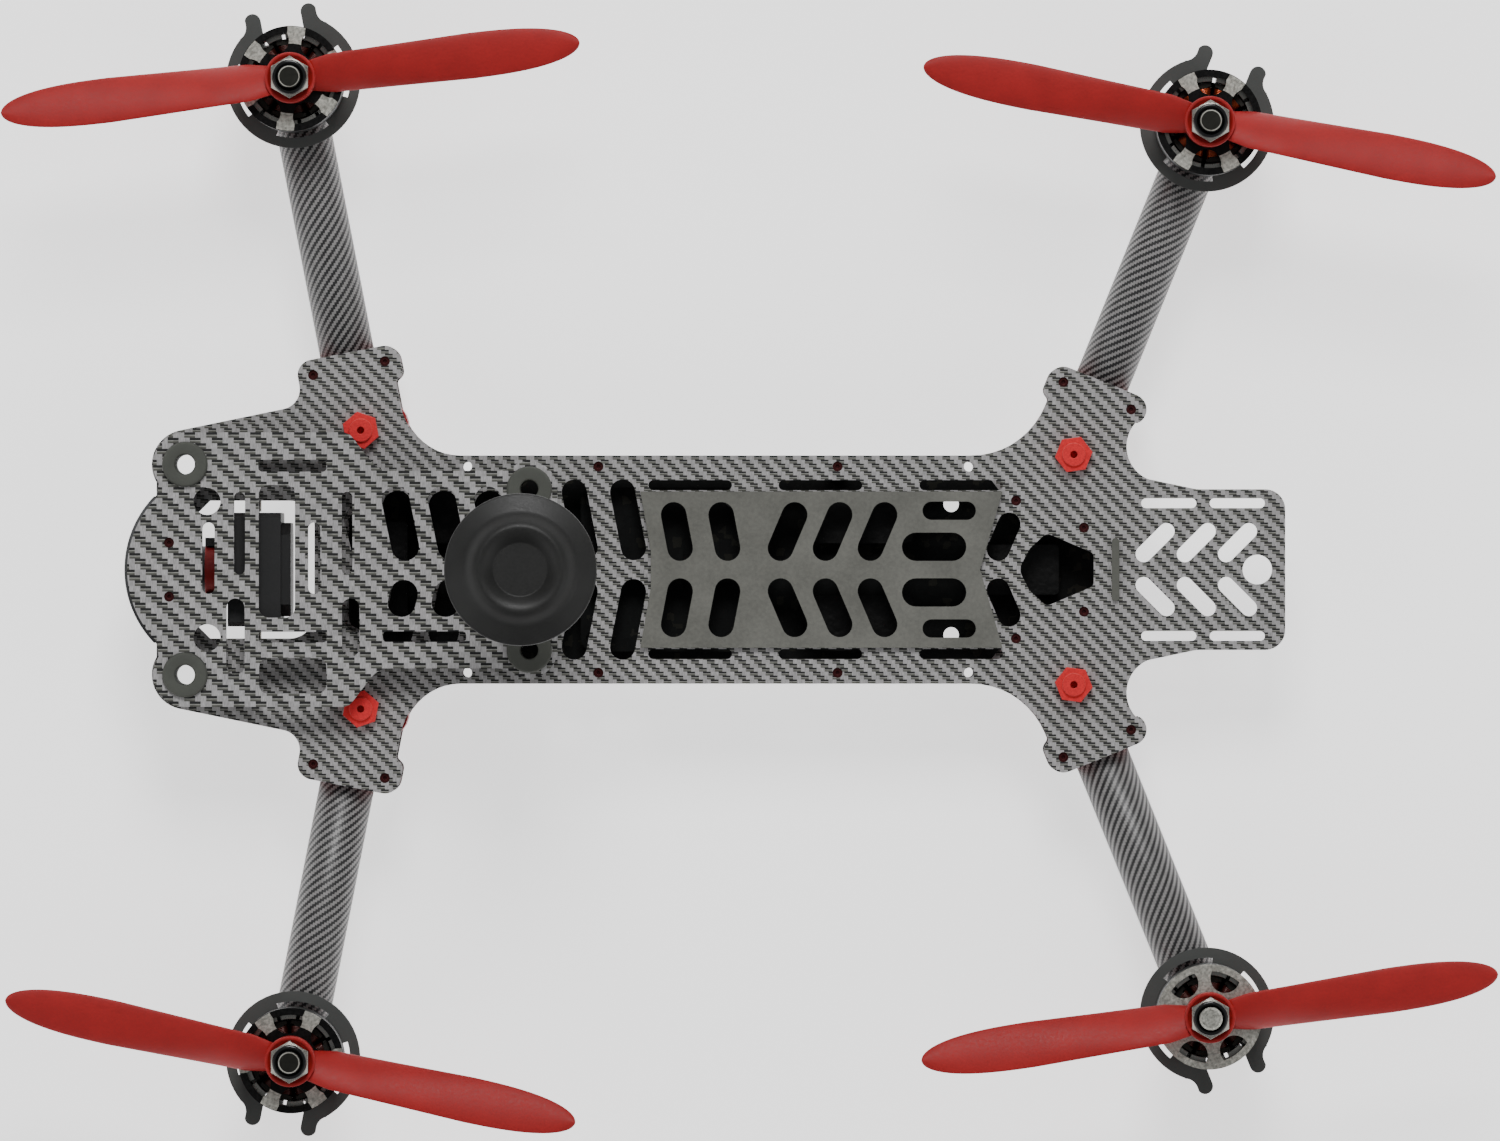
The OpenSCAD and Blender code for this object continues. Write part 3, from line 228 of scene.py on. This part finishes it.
# ---- finishes ---------------------------------------------------------------------------------
# Carbon laminate, cloth pressed flat in satin resin. Its weave is painted light: the tows that run away from
# the light carry a pale painted sheen, and those that cross them show as short black dashes of painted shade
# with a painted highlight on their lower side. Real tows, 0.86 and 1.2 mm.
WEFT_PAINTED_SHADE_AND_HIGHLIGHT = [(0.0, "#020203"), (0.45, "#030304"), (0.51, "#b4b4ae"), (0.62, "#66665f"), (1.0, "#41413c")]
CARBON = woven("carbon_laminate_fine", 0.86, "#a5a3a3", WEFT_PAINTED_SHADE_AND_HIGHLIGHT, 1)
CARBON_COARSE = woven("carbon_laminate_coarse", 1.2, "#a9a7a7", WEFT_PAINTED_SHADE_AND_HIGHLIGHT, 1)
# Carbon tube, cloth rolled round a rod and ground: the twill climbs round it as fine diagonal ribs, bright
# on dark, painted as on the laminate: the bright warp is a painted sheen and the dark weft painted shade, a
# little less deep along each tow's middle. The real tows are 0.43 mm, too fine to show; they are drawn 0.5
# mm, so that 76 go round the tube.
TUBE_R, TOWS_ROUND = 6.0, 76
# Painted shade across the tube's weft, a little less deep along each tow's middle.
TUBE_WEFT_PAINTED_SHADE = [(0.0, "#020203"), (0.5, "#2a2a2b"), (1.0, "#060607")]
CARBON_TUBE = woven("carbon_tube_rolled", 2 * math.pi * TUBE_R / TOWS_ROUND, "#8b8988", TUBE_WEFT_PAINTED_SHADE, -1, True,
                    0.46)
# Moulded ABS: a spark-eroded mould leaves a matt grain that kills the gloss. Real grain 0.15 mm, drawn 0.5.
# The aerial's cap comes from a smoother mould, which leaves it satin, with a soft sheen on its crest.
BUMPER = moulded("abs_moulded_grey", "#4a4b4c", 0.62, 0.5)
CAMERA_SHELL = moulded("abs_moulded_black", "#151516", 0.5, 0.5)
CAP = moulded("abs_moulded_satin_black", "#1f1f1e", 0.46, 0.4, 0.16, 0.012,
              {"Specular IOR Level": 0.35})
# Moulded rubber: soft, dull, a little dusty, with no gloss. The mat's skin is coarse and pitted.
RUBBER = moulded("rubber_moulded_grey", "#484a44", 0.74, 0.4, 0.14)
PAD = moulded("rubber_mat_pitted", "#6a6a64", 0.88, 0.7, 0.2, 0.12)
FOOT = moulded("rubber_moulded_black", "#1b1b1b", 0.8, 0.5)
# Moulded nylon: black with a soft waxy sheen. The tie is grey. The nuts' inserts are turned, and glossier.
NYLON = moulded("nylon_moulded_black", "#101010", 0.45, 0.5)
INSERT = moulded("nylon_turned_black", "#0c0c0c", 0.16, 0.4, 0.1, 0.004)
TIE = moulded("nylon_moulded_grey", "#55564f", 0.5, 0.5, 0.08)
# Heat-shrunk sleeve: thin satin film drawn tight over parts, so it ripples over 1.6 mm with a weak sheen.
# Its black is real, drawn darker still, near pure black, as painted shade inside the frame.
SLEEVE = moulded("heat_shrink_black", "#050505", 0.42, 1.6, 0.3, 0.15, {"Specular IOR Level": 0.2})
# Guard laminate, cut from sheet and left matt: a dark slate grey with a fine brushed-out grain.
GUARD = moulded("laminate_cut_grey", "#444644", 0.64, 0.5, 0.1, 0.02)
# Injection-moulded polycarbonate: red all through, smooth, with a soft sheen and a fine speckle.
PROP = moulded("polycarbonate_moulded_red", "#a31d1d", 0.54, 0.5, 0.12, 0.02,
               {"Specular IOR Level": 0.35})
# Anodised aluminium: dye over etched metal keeps a metal's sheen, and edges carry a paler painted highlight.
RED = metal("aluminium_anodised_red", "#e02b2f", "#f08a80", 0.45, 0.4)
# Painted shade: a deeper copy of the red anodising, for seats, clamps and standoffs that sit low between
# parts.
RED_FITTING_PAINTED_SHADE = metal("aluminium_anodised_red_painted_shade", "#9c1719", "#c8504c", 0.48, 0.35)
RING_RED = metal("aluminium_anodised_deep_red", "#8e1717", "#b04a45", 0.6, 0.2)
# Painted shade: the screws' red darkened almost to black, as their recessed heads sit in shade.
SCREW_RED_PAINTED_SHADE = metal("screws_anodised_red_painted_shade", "#3d090b", "#7d2b2b", 0.42, 0.6)
BLACK_METAL = metal("aluminium_anodised_black", "#121213", "#5b5b5b", 0.42, 0.6)
# Plated steel, rolled or turned: cool grey and bright. The core is stacked sheet, dull and dark.
STEEL = metal("steel_zinc_plated", "#a9a69d", "#dcdad2", 0.3)
CORE = metal("iron_laminated", "#3a3936", "#6b6a66", 0.55)
MAGNET = metal("magnet_nickel_plated", "#8f8f8a", "#c8c8c4", 0.3)
PLATED = metal("brass_gold_plated", "#a8935a", "#d8c58a", 0.3)
# Enamelled copper: a clear amber coat over the wire gives it a wet orange glint. The maroon copy is the
# same copper darkened as painted shade, for the windings that sit in shade.
COPPER = moulded("copper_enamelled_amber", "#a8441f", 0.32, 0.3, 0.22, 0.004,
                 {"Metallic": 0.8, "Coat Weight": 0.5, "Coat Roughness": 0.1})
# Painted shade: the copper darkened to maroon.
COPPER_PAINTED_SHADE = moulded("copper_enamelled_painted_shade", "#4a1a14", 0.4, 0.3, 0.22, 0.004,
                      {"Metallic": 0.5, "Coat Weight": 0.3, "Coat Roughness": 0.2})


def board_finish():
    """Fibreglass board under black solder mask: blocks 1.6 mm wide stand for tracks and pads, a shade paler
    than the ground, and one block in twelve or so is a dull tinned pad. The mask's black is real, and it and
    the pads are drawn darker still, near pure black, as painted shade inside the frame."""
    m, t = new_finish("fibreglass_board_masked")
    at = add(t, "TexCoord", out="Object")
    cell = add(t, "TexVoronoi", {"Vector": at, "Scale": 1 / (1.6 * MM)}, out="Color", distance="CHEBYCHEV")
    pick = add(t, "SeparateColor", {0: cell})
    # Partly painted shade: the mask's real black drawn darker still, as inside the frame.
    tracks = add(t, "ValToRGB", {0: pick}, stops=[(0.0, "#030404"), (0.9, "#080a09"), (1.0, "#0d100e")])
    pad = add(t, "Math", {0: pick, 1: 0.92}, operation="GREATER_THAN")
    shader = add(t, "BsdfPrincipled", {
        "Base Color": add(t, "Mix", {0: pad, 6: tracks, 7: colour("#1b1b16")}, out=2, data_type="RGBA"),
        "Roughness": 0.6, "Specular IOR Level": 0.15,
        "Normal": add(t, "Bump", {"Height": pick, "Distance": 0.03 * MM})})
    add(t, "OutputMaterial", {0: shader})
    return m


def glass_finish():
    """Coated lens glass: near black, mirror smooth, with a faint blue bloom that drifts over 4 mm."""
    m, t = new_finish("glass_coated")
    drift = add(t, "TexNoise", {"Vector": add(t, "TexCoord", out="Object"), "Scale": 1 / (4 * MM)})
    shader = add(t, "BsdfPrincipled", {
        "Base Color": add(t, "ValToRGB", {0: drift}, stops=[(0.3, "#0b141c"), (0.7, "#22394e")]),
        "Roughness": 0.05, "Coat Weight": 1.0, "Coat Roughness": 0.03})
    add(t, "OutputMaterial", {0: shader})
    return m


def floor_finish():
    """Matt white paper sweep, which the studio lamps light to a plain white; it glows a little to stand for
    lamps that light the paper alone."""
    m, t = new_finish("paper_matt_white")
    drift = add(t, "TexNoise", {"Vector": add(t, "TexCoord", out="Object"), "Scale": 8.0})
    shader = add(t, "BsdfPrincipled", {
        "Base Color": add(t, "ValToRGB", {0: drift}, stops=[(0.0, "#f4f4f4"), (1.0, "#fafafa")]),
        "Roughness": 0.9, "Emission Color": colour("#ffffff"), "Emission Strength": 1.2})
    add(t, "OutputMaterial", {0: shader})
    return m


BOARD, GLASS = board_finish(), glass_finish()


# ---- shape helpers ----------------------------------------------------------------------------
def piece(name, surface, material, body, nodes=(), smooth=True):
    """Puts a surface into the scene, its points in millimetres; names what it rides on and stands for."""
    points, quads, tris = surface
    mesh = bpy.data.meshes.new(name)
    mesh.from_pydata((points * MM).tolist(), [], quads.tolist() + tris.tolist())
    mesh.update()
    mesh.polygons.foreach_set("use_smooth", [smooth] * len(mesh.polygons))
    mesh.materials.append(material)
    o = bpy.data.objects.new(name, mesh)
    bpy.context.scene.collection.objects.link(o)
    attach(o, body)
    if nodes:
        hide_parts(*nodes)
    return o


def skin(P, torus=False):
    """Points and faces of a surface from rings P[i, j]: each ring is closed, rings join one to the next, and
    the ends close with a fan to their middle, or meet each other on a torus. Faces point outwards."""
    rows, cols = P.shape[:2]
    v = P.reshape(-1, 3)
    i, j = np.meshgrid(np.arange(rows if torus else rows - 1), np.arange(cols), indexing="ij")
    a, b = i * cols + j, i * cols + (j + 1) % cols
    k = (i + 1) % rows * cols
    quads = np.stack([a, b, k + (j + 1) % cols, k + j], -1).reshape(-1, 4)
    tris = np.zeros((0, 3), int)
    if not torus:
        n, j = len(v), np.arange(cols)
        v = np.vstack([v, P[0].mean(0), P[-1].mean(0)])
        last = (rows - 1) * cols
        tris = np.vstack([np.stack([(j + 1) % cols, j, np.full(cols, n)], 1),
                          np.stack([last + j, last + (j + 1) % cols, np.full(cols, n + 1)], 1)])
    fan = np.vstack([quads[:, [0, 1, 2]], quads[:, [0, 2, 3]], tris])
    volume = np.einsum("ij,ij->i", v[fan[:, 0]], np.cross(v[fan[:, 1]], v[fan[:, 2]])).sum()
    flip = -1 if volume < 0 else 1
    return v, quads[:, ::flip], tris[:, ::flip]


def turned(profile, centre, around=72):
    """Rings of a turned shape: each profile point (radius, height) goes round the upright axis at centre."""
    r, z = np.asarray(profile, float).T
    a = np.linspace(0, 2 * np.pi, around, endpoint=False)
    return np.stack([centre[0] + r[:, None] * np.cos(a), centre[1] + r[:, None] * np.sin(a),
                     np.repeat(z[:, None], around, 1)], -1)


def corner(r, z, size, a, b, n=5):
    """Profile points of a rounded corner: an arc about (r, z) from angle a to b, in degrees."""
    t = np.radians(np.linspace(a, b, n))
    return [(r + size * c, z + size * s) for c, s in zip(np.cos(t), np.sin(t))]


def box_mm(node):
    """A CAD node's box in millimetres."""
    low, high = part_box(node)
    return np.array(low) / MM, np.array(high) / MM


# ---- propellers -------------------------------------------------------------------------------
PROP_R, PITCH, BLADE_W, HUB_R, HUB_H = 63.48, 76.0, 9.9, 5.5, 6.0
RIM, SHAFT_HOLE, NUT_ROOM = 0.5, 2.55, 4.77
HUB_FOOT_ROUND, HUB_TOP_ROUND = 0.35, 0.2
# How each propeller stands, in degrees, and which way its blades are handed.
TURN = [-12.2, 7.0, 8.6, -11.0]
SPIN = [-1, 1, 1, -1]
# Where the blade begins, where its root has its width, and its widths as shares of the full one.
BLADE_START, ROOT_END, ROOT_SHARE, ROOT_GAIN = 4.3, 9, 0.8, 0.2
INNER_SHARE, OUTER_GAIN, FULL_AT = 0.78, 0.22, 0.62
TIP_FROM, TIP_SPAN, TIP_POWER, TIP_LEAST = 0.6, 0.4, 2.8, 0.0016
THICK, THINNER, CAMBER, CROWDING = 1.9, 1.2, 0.45, 1.5


def blade_width(r):
    """Width from above: grows to its full value at 0.62 of the radius, then closes in a rounded tip."""
    s = r / PROP_R
    tip = np.clip((s - TIP_FROM) / TIP_SPAN, 0, 1)
    root = np.where(r < ROOT_END,
                    ROOT_SHARE + ROOT_GAIN * (r - BLADE_START) / (ROOT_END - BLADE_START), 1)
    return (BLADE_W * (INNER_SHARE + OUTER_GAIN * np.minimum(1, s / FULL_AT))
            * np.sqrt(np.maximum(TIP_LEAST, 1 - tip ** TIP_POWER)) * root)


def blade(hand, rings=70, around=36):
    """A twisted aerofoil: its angle is atan(pitch / 2 pi r), held where it fills the hub's height; its
    section is a cambered lens, thinner outwards."""
    u = np.linspace(0, 1, rings)[:, None]
    r = BLADE_START + (PROP_R - BLADE_START) * (1 - (1 - u) ** CROWDING)
    limit = np.arctan((HUB_H - 1) / blade_width(np.array([[HUB_R]])))
    g = np.minimum(limit, np.arctan(PITCH / (2 * np.pi * r)))
    a = np.linspace(0, 2 * np.pi, around, endpoint=False)[None]
    t = np.cos(a) / 2
    w = blade_width(r) / np.cos(g)
    h = (THICK - THINNER * r / PROP_R) * (0.5 * np.sin(a) + CAMBER * (1 - 4 * t * t))
    y = hand * (w * t * np.cos(g) - h * np.sin(g))
    return np.stack([np.broadcast_to(r, y.shape), y, w * t * np.sin(g) + h * np.cos(g)], -1)


def placed(P, centre, degrees, z):
    """Turns points about the vertical and moves them to a centre and a height."""
    c, s = math.cos(math.radians(degrees)), math.sin(math.radians(degrees))
    return P @ np.array([[c, s, 0], [-s, c, 0], [0, 0, 1]]) + np.array([centre[0], centre[1], z])


for i, arm in enumerate(ARMS):
    low, high = box_mm(arm + "_motor_bell")
    axis = (low + high)[:2] / 2
    z = box_mm(arm + "_prop_nut")[0][2] - HUB_H
    body = arm + "_rotor"
    e, f = HUB_FOOT_ROUND, HUB_TOP_ROUND
    top = HUB_H + RIM
    hub = ([(SHAFT_HOLE, z), (HUB_R - e, z)] + corner(HUB_R - e, z + e, e, -90, 0)
           + corner(HUB_R - f, z + top - f, f, 0, 90)
           + [(NUT_ROOM, z + top), (NUT_ROOM, z + HUB_H), (SHAFT_HOLE, z + HUB_H)])
    piece(arm + "_prop_hub", skin(turned(hub, axis), torus=True), PROP, body, [arm + "_propeller"])
    for k, half in enumerate((0, 180)):
        wing = skin(placed(blade(SPIN[i]), axis, TURN[i] + half, z + HUB_H / 2))
        piece(f"{arm}_blade_{k + 1}", wing, PROP, body, [])


# ---- lock nuts --------------------------------------------------------------------------------
NUT_AF, NUT_H, COLLAR_H = 8.0, 4.6, 1.2
CHAMFER_IN, CHAMFER_SLOPE = 0.15, 30
COLLAR_IN, COLLAR_ROUND = 0.25, 0.4
SHAFT_R = 2.5


def hexagon(radius_at, z_at, centre, around=96):
    """Rings whose distance from the axis and height are functions of the angle."""
    a = np.linspace(0, 2 * np.pi, around, endpoint=False)
    r, z = radius_at(a) + 0 * a, z_at(a) + 0 * a
    return np.stack([centre[0] + r * np.cos(a), centre[1] + r * np.sin(a), z], -1)


for i, arm in enumerate(ARMS):
    low, high = box_mm(arm + "_prop_nut")
    axis, z = (low + high)[:2] / 2, low[2]
    hex_top = z + NUT_H - COLLAR_H
    chamfer = NUT_AF / 2 - CHAMFER_IN

    def edge(a):
        return NUT_AF / 2 / np.cos(((a - np.pi / 6) % (np.pi / 3)) - np.pi / 6)

    def fall(a):
        return hex_top - (edge(a) - chamfer) * math.tan(math.radians(CHAMFER_SLOPE))

    rows = [(lambda a: 0 * a + SHAFT_R, lambda a: 0 * a + z), (edge, lambda a: 0 * a + z), (edge, fall),
            (lambda a: 0 * a + chamfer, lambda a: 0 * a + hex_top),
            (lambda a: 0 * a + SHAFT_R, lambda a: 0 * a + hex_top)]
    nut = skin(np.stack([hexagon(r, h, axis) for r, h in rows]), torus=True)
    piece(arm + "_nut_hex", nut, STEEL, arm + "_rotor", [arm + "_prop_nut"], smooth=False)
    r, e = NUT_AF / 2 - COLLAR_IN, COLLAR_ROUND
    collar = ([(SHAFT_R, hex_top), (r, hex_top)] + corner(r - e, z + NUT_H - e, e, 0, 90)
              + [(SHAFT_R, z + NUT_H)])
    piece(arm + "_nut_insert", skin(turned(collar, axis), torus=True), INSERT, arm + "_rotor", [])

# ---- arm tubes --------------------------------------------------------------------------------
TUBE_WALL, TUBE_EDGE, TUBE_COLS = 1.0, 0.15, 72
# How far the front arms lean forwards and the rear arms backwards from straight sideways, in degrees.
LEAN = [11.0, 22.0]
for i, arm in enumerate(ARMS):
    node = arm + "_arm_tube"
    pts = np.array([v.co for v in NODES[node].data.vertices]) / MM
    side = 1 if i % 2 == 0 else -1
    angle = math.radians(side * (90 - LEAN[0] if i < 2 else 90 + LEAN[1]))
    along = np.array([math.cos(angle), math.sin(angle), 0])
    across = np.array([-along[1], along[0], 0])
    up = np.array([0, 0, 1.0])
    s, c = pts @ along, pts @ across
    mid = across * (c.min() + c.max()) / 2 + up * (pts[:, 2].min() + pts[:, 2].max()) / 2
    cols = TUBE_COLS
    a = np.linspace(0, 2 * np.pi, cols, endpoint=False)
    ends = [(s.min(), TUBE_R - TUBE_WALL), (s.min(), TUBE_R), (s.max() - TUBE_EDGE, TUBE_R),
            (s.max(), TUBE_R - TUBE_EDGE), (s.max(), TUBE_R - TUBE_WALL)]
    P = np.stack([mid + along * d + r * (np.cos(a)[:, None] * across + np.sin(a)[:, None] * up)
                  for d, r in ends])
    tube = skin(P, torus=True)
    o = piece(node + "_wrapped", tube, CARBON_TUBE, "airframe", [node])
    uv = o.data.uv_layers.new(name="around")
    index = np.zeros(len(o.data.loops), int)
    o.data.loops.foreach_get("vertex_index", index)
    turn = index % cols
    first = np.repeat([p.loop_start for p in o.data.polygons], [p.loop_total for p in o.data.polygons])
    # A corner in column 0 that closes a face of the last column lies a full turn on.
    wraps = (turn[first] > cols / 2) & (turn == 0) | (turn == 0) & (np.roll(turn, 1) == cols - 1)
    wraps |= (turn == 0) & (np.roll(turn, -1) == cols - 1)
    u = (turn + cols * wraps) / cols * 2 * np.pi * TUBE_R * MM
    uv.data.foreach_set("uv", np.stack([u, (tube[0][index] @ along) * MM], 1).ravel())

# ---- rubber grommets --------------------------------------------------------------------------
low, high = box_mm("damper_grommets")
plate_low, plate_high = box_mm("upper_plate")
cam_low, cam_high = box_mm("camera_plate")
FLANGE_R, NECK_R = 4.95, 3.4
FOOT_ROUND, WAIST_ROUND, TOP_ROUND, LIP_ROUND = 0.5, 1.2, 0.6, 0.4
# The front and the aft pair: x, y and the radius of the bore, in mm.
EAR = (123.418, 23.0, 2.15)
AFT = (48.218, 17.6, 1.95)
for name, (x, y, bore) in (("nose", EAR), ("aft", AFT)):
    for hand, sign in (("left", 1), ("right", -1)):
        e, w, f, h = FOOT_ROUND, WAIST_ROUND, TOP_ROUND, LIP_ROUND
        g = ([(bore, low[2])] + corner(FLANGE_R - e, low[2] + e, e, -90, 0) + [(FLANGE_R, plate_low[2])]
             + [(NECK_R, plate_low[2]), (NECK_R, plate_high[2])]
             + corner(FLANGE_R - w, plate_high[2] + w, w, -90, 0, 7)
             + corner(FLANGE_R - w, cam_low[2] - w, w, 0, 90, 7)
             + [(NECK_R, cam_low[2]), (NECK_R, cam_high[2]), (FLANGE_R, cam_high[2])]
             + corner(FLANGE_R - f, high[2] - f, f, 0, 90, 6)
             + corner(bore + h, high[2] - h, h, 90, 180, 5))
        piece(f"{name}_grommet_{hand}", skin(turned(g, (x, sign * y)), torus=True), RUBBER, "airframe",
              ["damper_grommets"] if name == "nose" else [])

# ---- aerial cap -------------------------------------------------------------------------------
low, high = box_mm("antenna_cap")
axis, z = (low + high)[:2] / 2, low[2]
CAP_R, CAP_SHELL, CAP_FOOT_ROUND = 16.45, 0.58, 0.6
CAP_MIDDLE, CAP_RINGS, CAP_AROUND = 0.4, 110, 128
DISC_R, DISC_TOP, CREST_R, CREST = 5.8, 5.2, 9.0, 6.8
COVE, COVE_DROP, SLOPE, RIM_ROUND = 3.8, 2.0, 0.36, 0.5


def cap_rise(r):
    """Height of the cap's top: a flat disc to 5.8 mm; a quarter sine up to the crest at 9 mm; then a cosine
    fall over 3.8 mm, added to a slope that sets in along a parabola and runs straight on to the rim."""
    d = np.maximum(r - CREST_R, 0)
    inner = DISC_TOP + (CREST - DISC_TOP) * np.sin(
        np.clip((r - DISC_R) / (CREST_R - DISC_R), 0, 1) * np.pi / 2)
    slope = np.where(d < COVE, d * d / (2 * COVE), d - COVE / 2) * SLOPE
    return np.where(r < CREST_R, inner,
                    CREST - COVE_DROP * (1 - np.cos(np.pi * np.minimum(d / COVE, 1))) / 2 - slope)


r = np.linspace(CAP_R - RIM_ROUND, CAP_MIDDLE, CAP_RINGS)
rim_top = z + float(cap_rise(r[0])) + CAP_SHELL
e = CAP_FOOT_ROUND
cap = ([(CAP_MIDDLE, z), (CAP_R - e, z)] + corner(CAP_R - e, z + e, e, -90, 0)
       + corner(CAP_R - RIM_ROUND, rim_top - RIM_ROUND, RIM_ROUND, 0, 80)
       + list(zip(r, z + cap_rise(r) + CAP_SHELL)))
piece("aerial_cap_moulded", skin(turned(cap, axis, CAP_AROUND)), CAP, "airframe", ["antenna_cap"])

# ---- windings ---------------------------------------------------------------------------------
TEETH, WIRE_R, TURNS, STEPS = 12, 0.24, 7, 24
COIL_HALF, COIL_WIDER, SIDE_POWER, END_POWER = 0.98, 0.5, 0.45, 0.3


def coil(z0, z1, inner=5.35, outer=7.55):
    """Wire wound on a tooth: it goes round a rounded rectangle in the tangent-height plane while it moves
    outwards, and the rectangle widens with the distance from the axis."""
    t = np.linspace(0, 2 * np.pi * TURNS, STEPS * TURNS)
    q = t / t[-1]
    r = inner + (outer - inner) * q
    half = COIL_HALF + COIL_WIDER * q
    c, s = np.cos(t), np.sin(t)
    path = np.stack([r, half * np.sign(c) * np.abs(c) ** SIDE_POWER,
                     (z0 + z1) / 2 + (z1 - z0) / 2 * np.sign(s) * np.abs(s) ** END_POWER], 1)
    d = np.gradient(path, axis=0)
    d /= np.linalg.norm(d, axis=1)[:, None]
    n = np.cross(d, [1.0, 0, 0])
    n /= np.linalg.norm(n, axis=1)[:, None]
    m = np.cross(d, n)
    a = np.linspace(0, 2 * np.pi, 6, endpoint=False)[:, None]
    return path[:, None] + WIRE_R * (np.cos(a) * n[:, None] + np.sin(a) * m[:, None])


low, high = box_mm("motor_windings")
points, quads, tris = skin(coil(low[2] + WIRE_R, high[2] - WIRE_R))
shift = np.arange(TEETH)[:, None, None] * len(points)
for i, arm in enumerate(ARMS):
    blow, bhigh = box_mm(arm + "_motor_bell")
    axis = (blow + bhigh)[:2] / 2
    side = 1 if i % 2 == 0 else -1
    stand = side * (90 - LEAN[0] if i < 2 else 90 + LEAN[1])
    coils = np.vstack([placed(points, axis, stand + 360 * k / TEETH, 0) for k in range(TEETH)])
    wound = coils, (quads + shift).reshape(-1, 4), (tris + shift).reshape(-1, 3)
    # Painted shade: all windings but the rear right one take the darkened copper.
    piece(arm + "_wire", wound, COPPER if arm == "rear_right" else COPPER_PAINTED_SHADE, "airframe",
          ["motor_windings"] if i == 0 else [])

# ---- finishes of the frame's own nodes --------------------------------------------------------
FINISH = {
    "lower_plate": CARBON, "upper_plate": CARBON, "camera_plate": CARBON_COARSE, "nose_bumper": BUMPER,
    "battery_pad": PAD, "power_board": BOARD, "flight_controller": BOARD, "board_spacers": NYLON,
    "speed_controllers": SLEEVE, "receiver": SLEEVE, "video_transmitter": SLEEVE,
    "antenna_socket": PLATED, "antenna_stem": NYLON, "frame_standoffs": RED_FITTING_PAINTED_SHADE,
    "frame_screws": SCREW_RED_PAINTED_SHADE, "arm_root_clamps": RED_FITTING_PAINTED_SHADE, "arm_edge_clamps": RED_FITTING_PAINTED_SHADE,
    "arm_root_bolts": RED, "landing_feet": FOOT, "camera_brackets": BLACK_METAL,
    "camera_pivot_screws": STEEL, "cable_tie": TIE,
    "motor_bases": BLACK_METAL, "motor_bearings": STEEL, "motor_stators": CORE,
    "camera_case": CAMERA_SHELL, "camera_lens": CAMERA_SHELL, "camera_lens_ring": RING_RED,
    "camera_glass": GLASS,
}
# How each bell stands at rest, in degrees.
BELL_TURN = [4.0, 23.5, 37.5, 56.5]
for i, arm in enumerate(ARMS):
    low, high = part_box(arm + "_motor_bell")
    centre = ((low[0] + high[0]) / 2, (low[1] + high[1]) / 2)
    FINISH[arm + "_motor_bell"] = bell_finish("bell_" + arm, centre, math.radians(BELL_TURN[i]),
                                              arm == "rear_left")
    FINISH[arm + "_motor_seat"] = RED_FITTING_PAINTED_SHADE
    FINISH[arm + "_guard_ring"] = GUARD
    FINISH[arm + "_motor_magnets"] = MAGNET
for node, material in FINISH.items():
    NODES[node].data.materials.clear()
    NODES[node].data.materials.append(material)

# ---- floor and light --------------------------------------------------------------------------
floor_mesh = bpy.data.meshes.new("floor")
HALF = 3.0
floor_mesh.from_pydata([(-HALF, -HALF, 0), (HALF, -HALF, 0), (HALF, HALF, 0), (-HALF, HALF, 0)], [],
                       [(0, 1, 2, 3)])
floor = bpy.data.objects.new("floor", floor_mesh)
bpy.context.scene.collection.objects.link(floor)
floor_mesh.materials.append(floor_finish())


def lamp(name, azimuth, elevation, distance, size, power):
    """A square soft light that looks at the object; azimuth 0 stands on the -Y side, 90 on the +X side."""
    data = bpy.data.lights.new(name, "AREA")
    data.size, data.energy = size, power
    o = bpy.data.objects.new(name, data)
    a, e = math.radians(azimuth), math.radians(elevation)
    o.location = (distance * math.sin(a) * math.cos(e), -distance * math.cos(a) * math.cos(e),
                  distance * math.sin(e))
    o.rotation_euler = (math.pi / 2 - e, 0.0, a)
    bpy.context.scene.collection.objects.link(o)


lamp("key", 0, 54, 1.6, 0.55, 15)
lamp("fill_left", 115, 40, 1.8, 1.2, 5.5)
lamp("fill_right", -115, 40, 1.8, 1.2, 5.5)
WORLD_STRENGTH = 0.32
world = bpy.data.worlds.new("studio")
bpy.context.scene.world = world
world.use_nodes = True
world.node_tree.nodes["Background"].inputs[0].default_value = colour("#f2f4f6")
world.node_tree.nodes["Background"].inputs[1].default_value = WORLD_STRENGTH
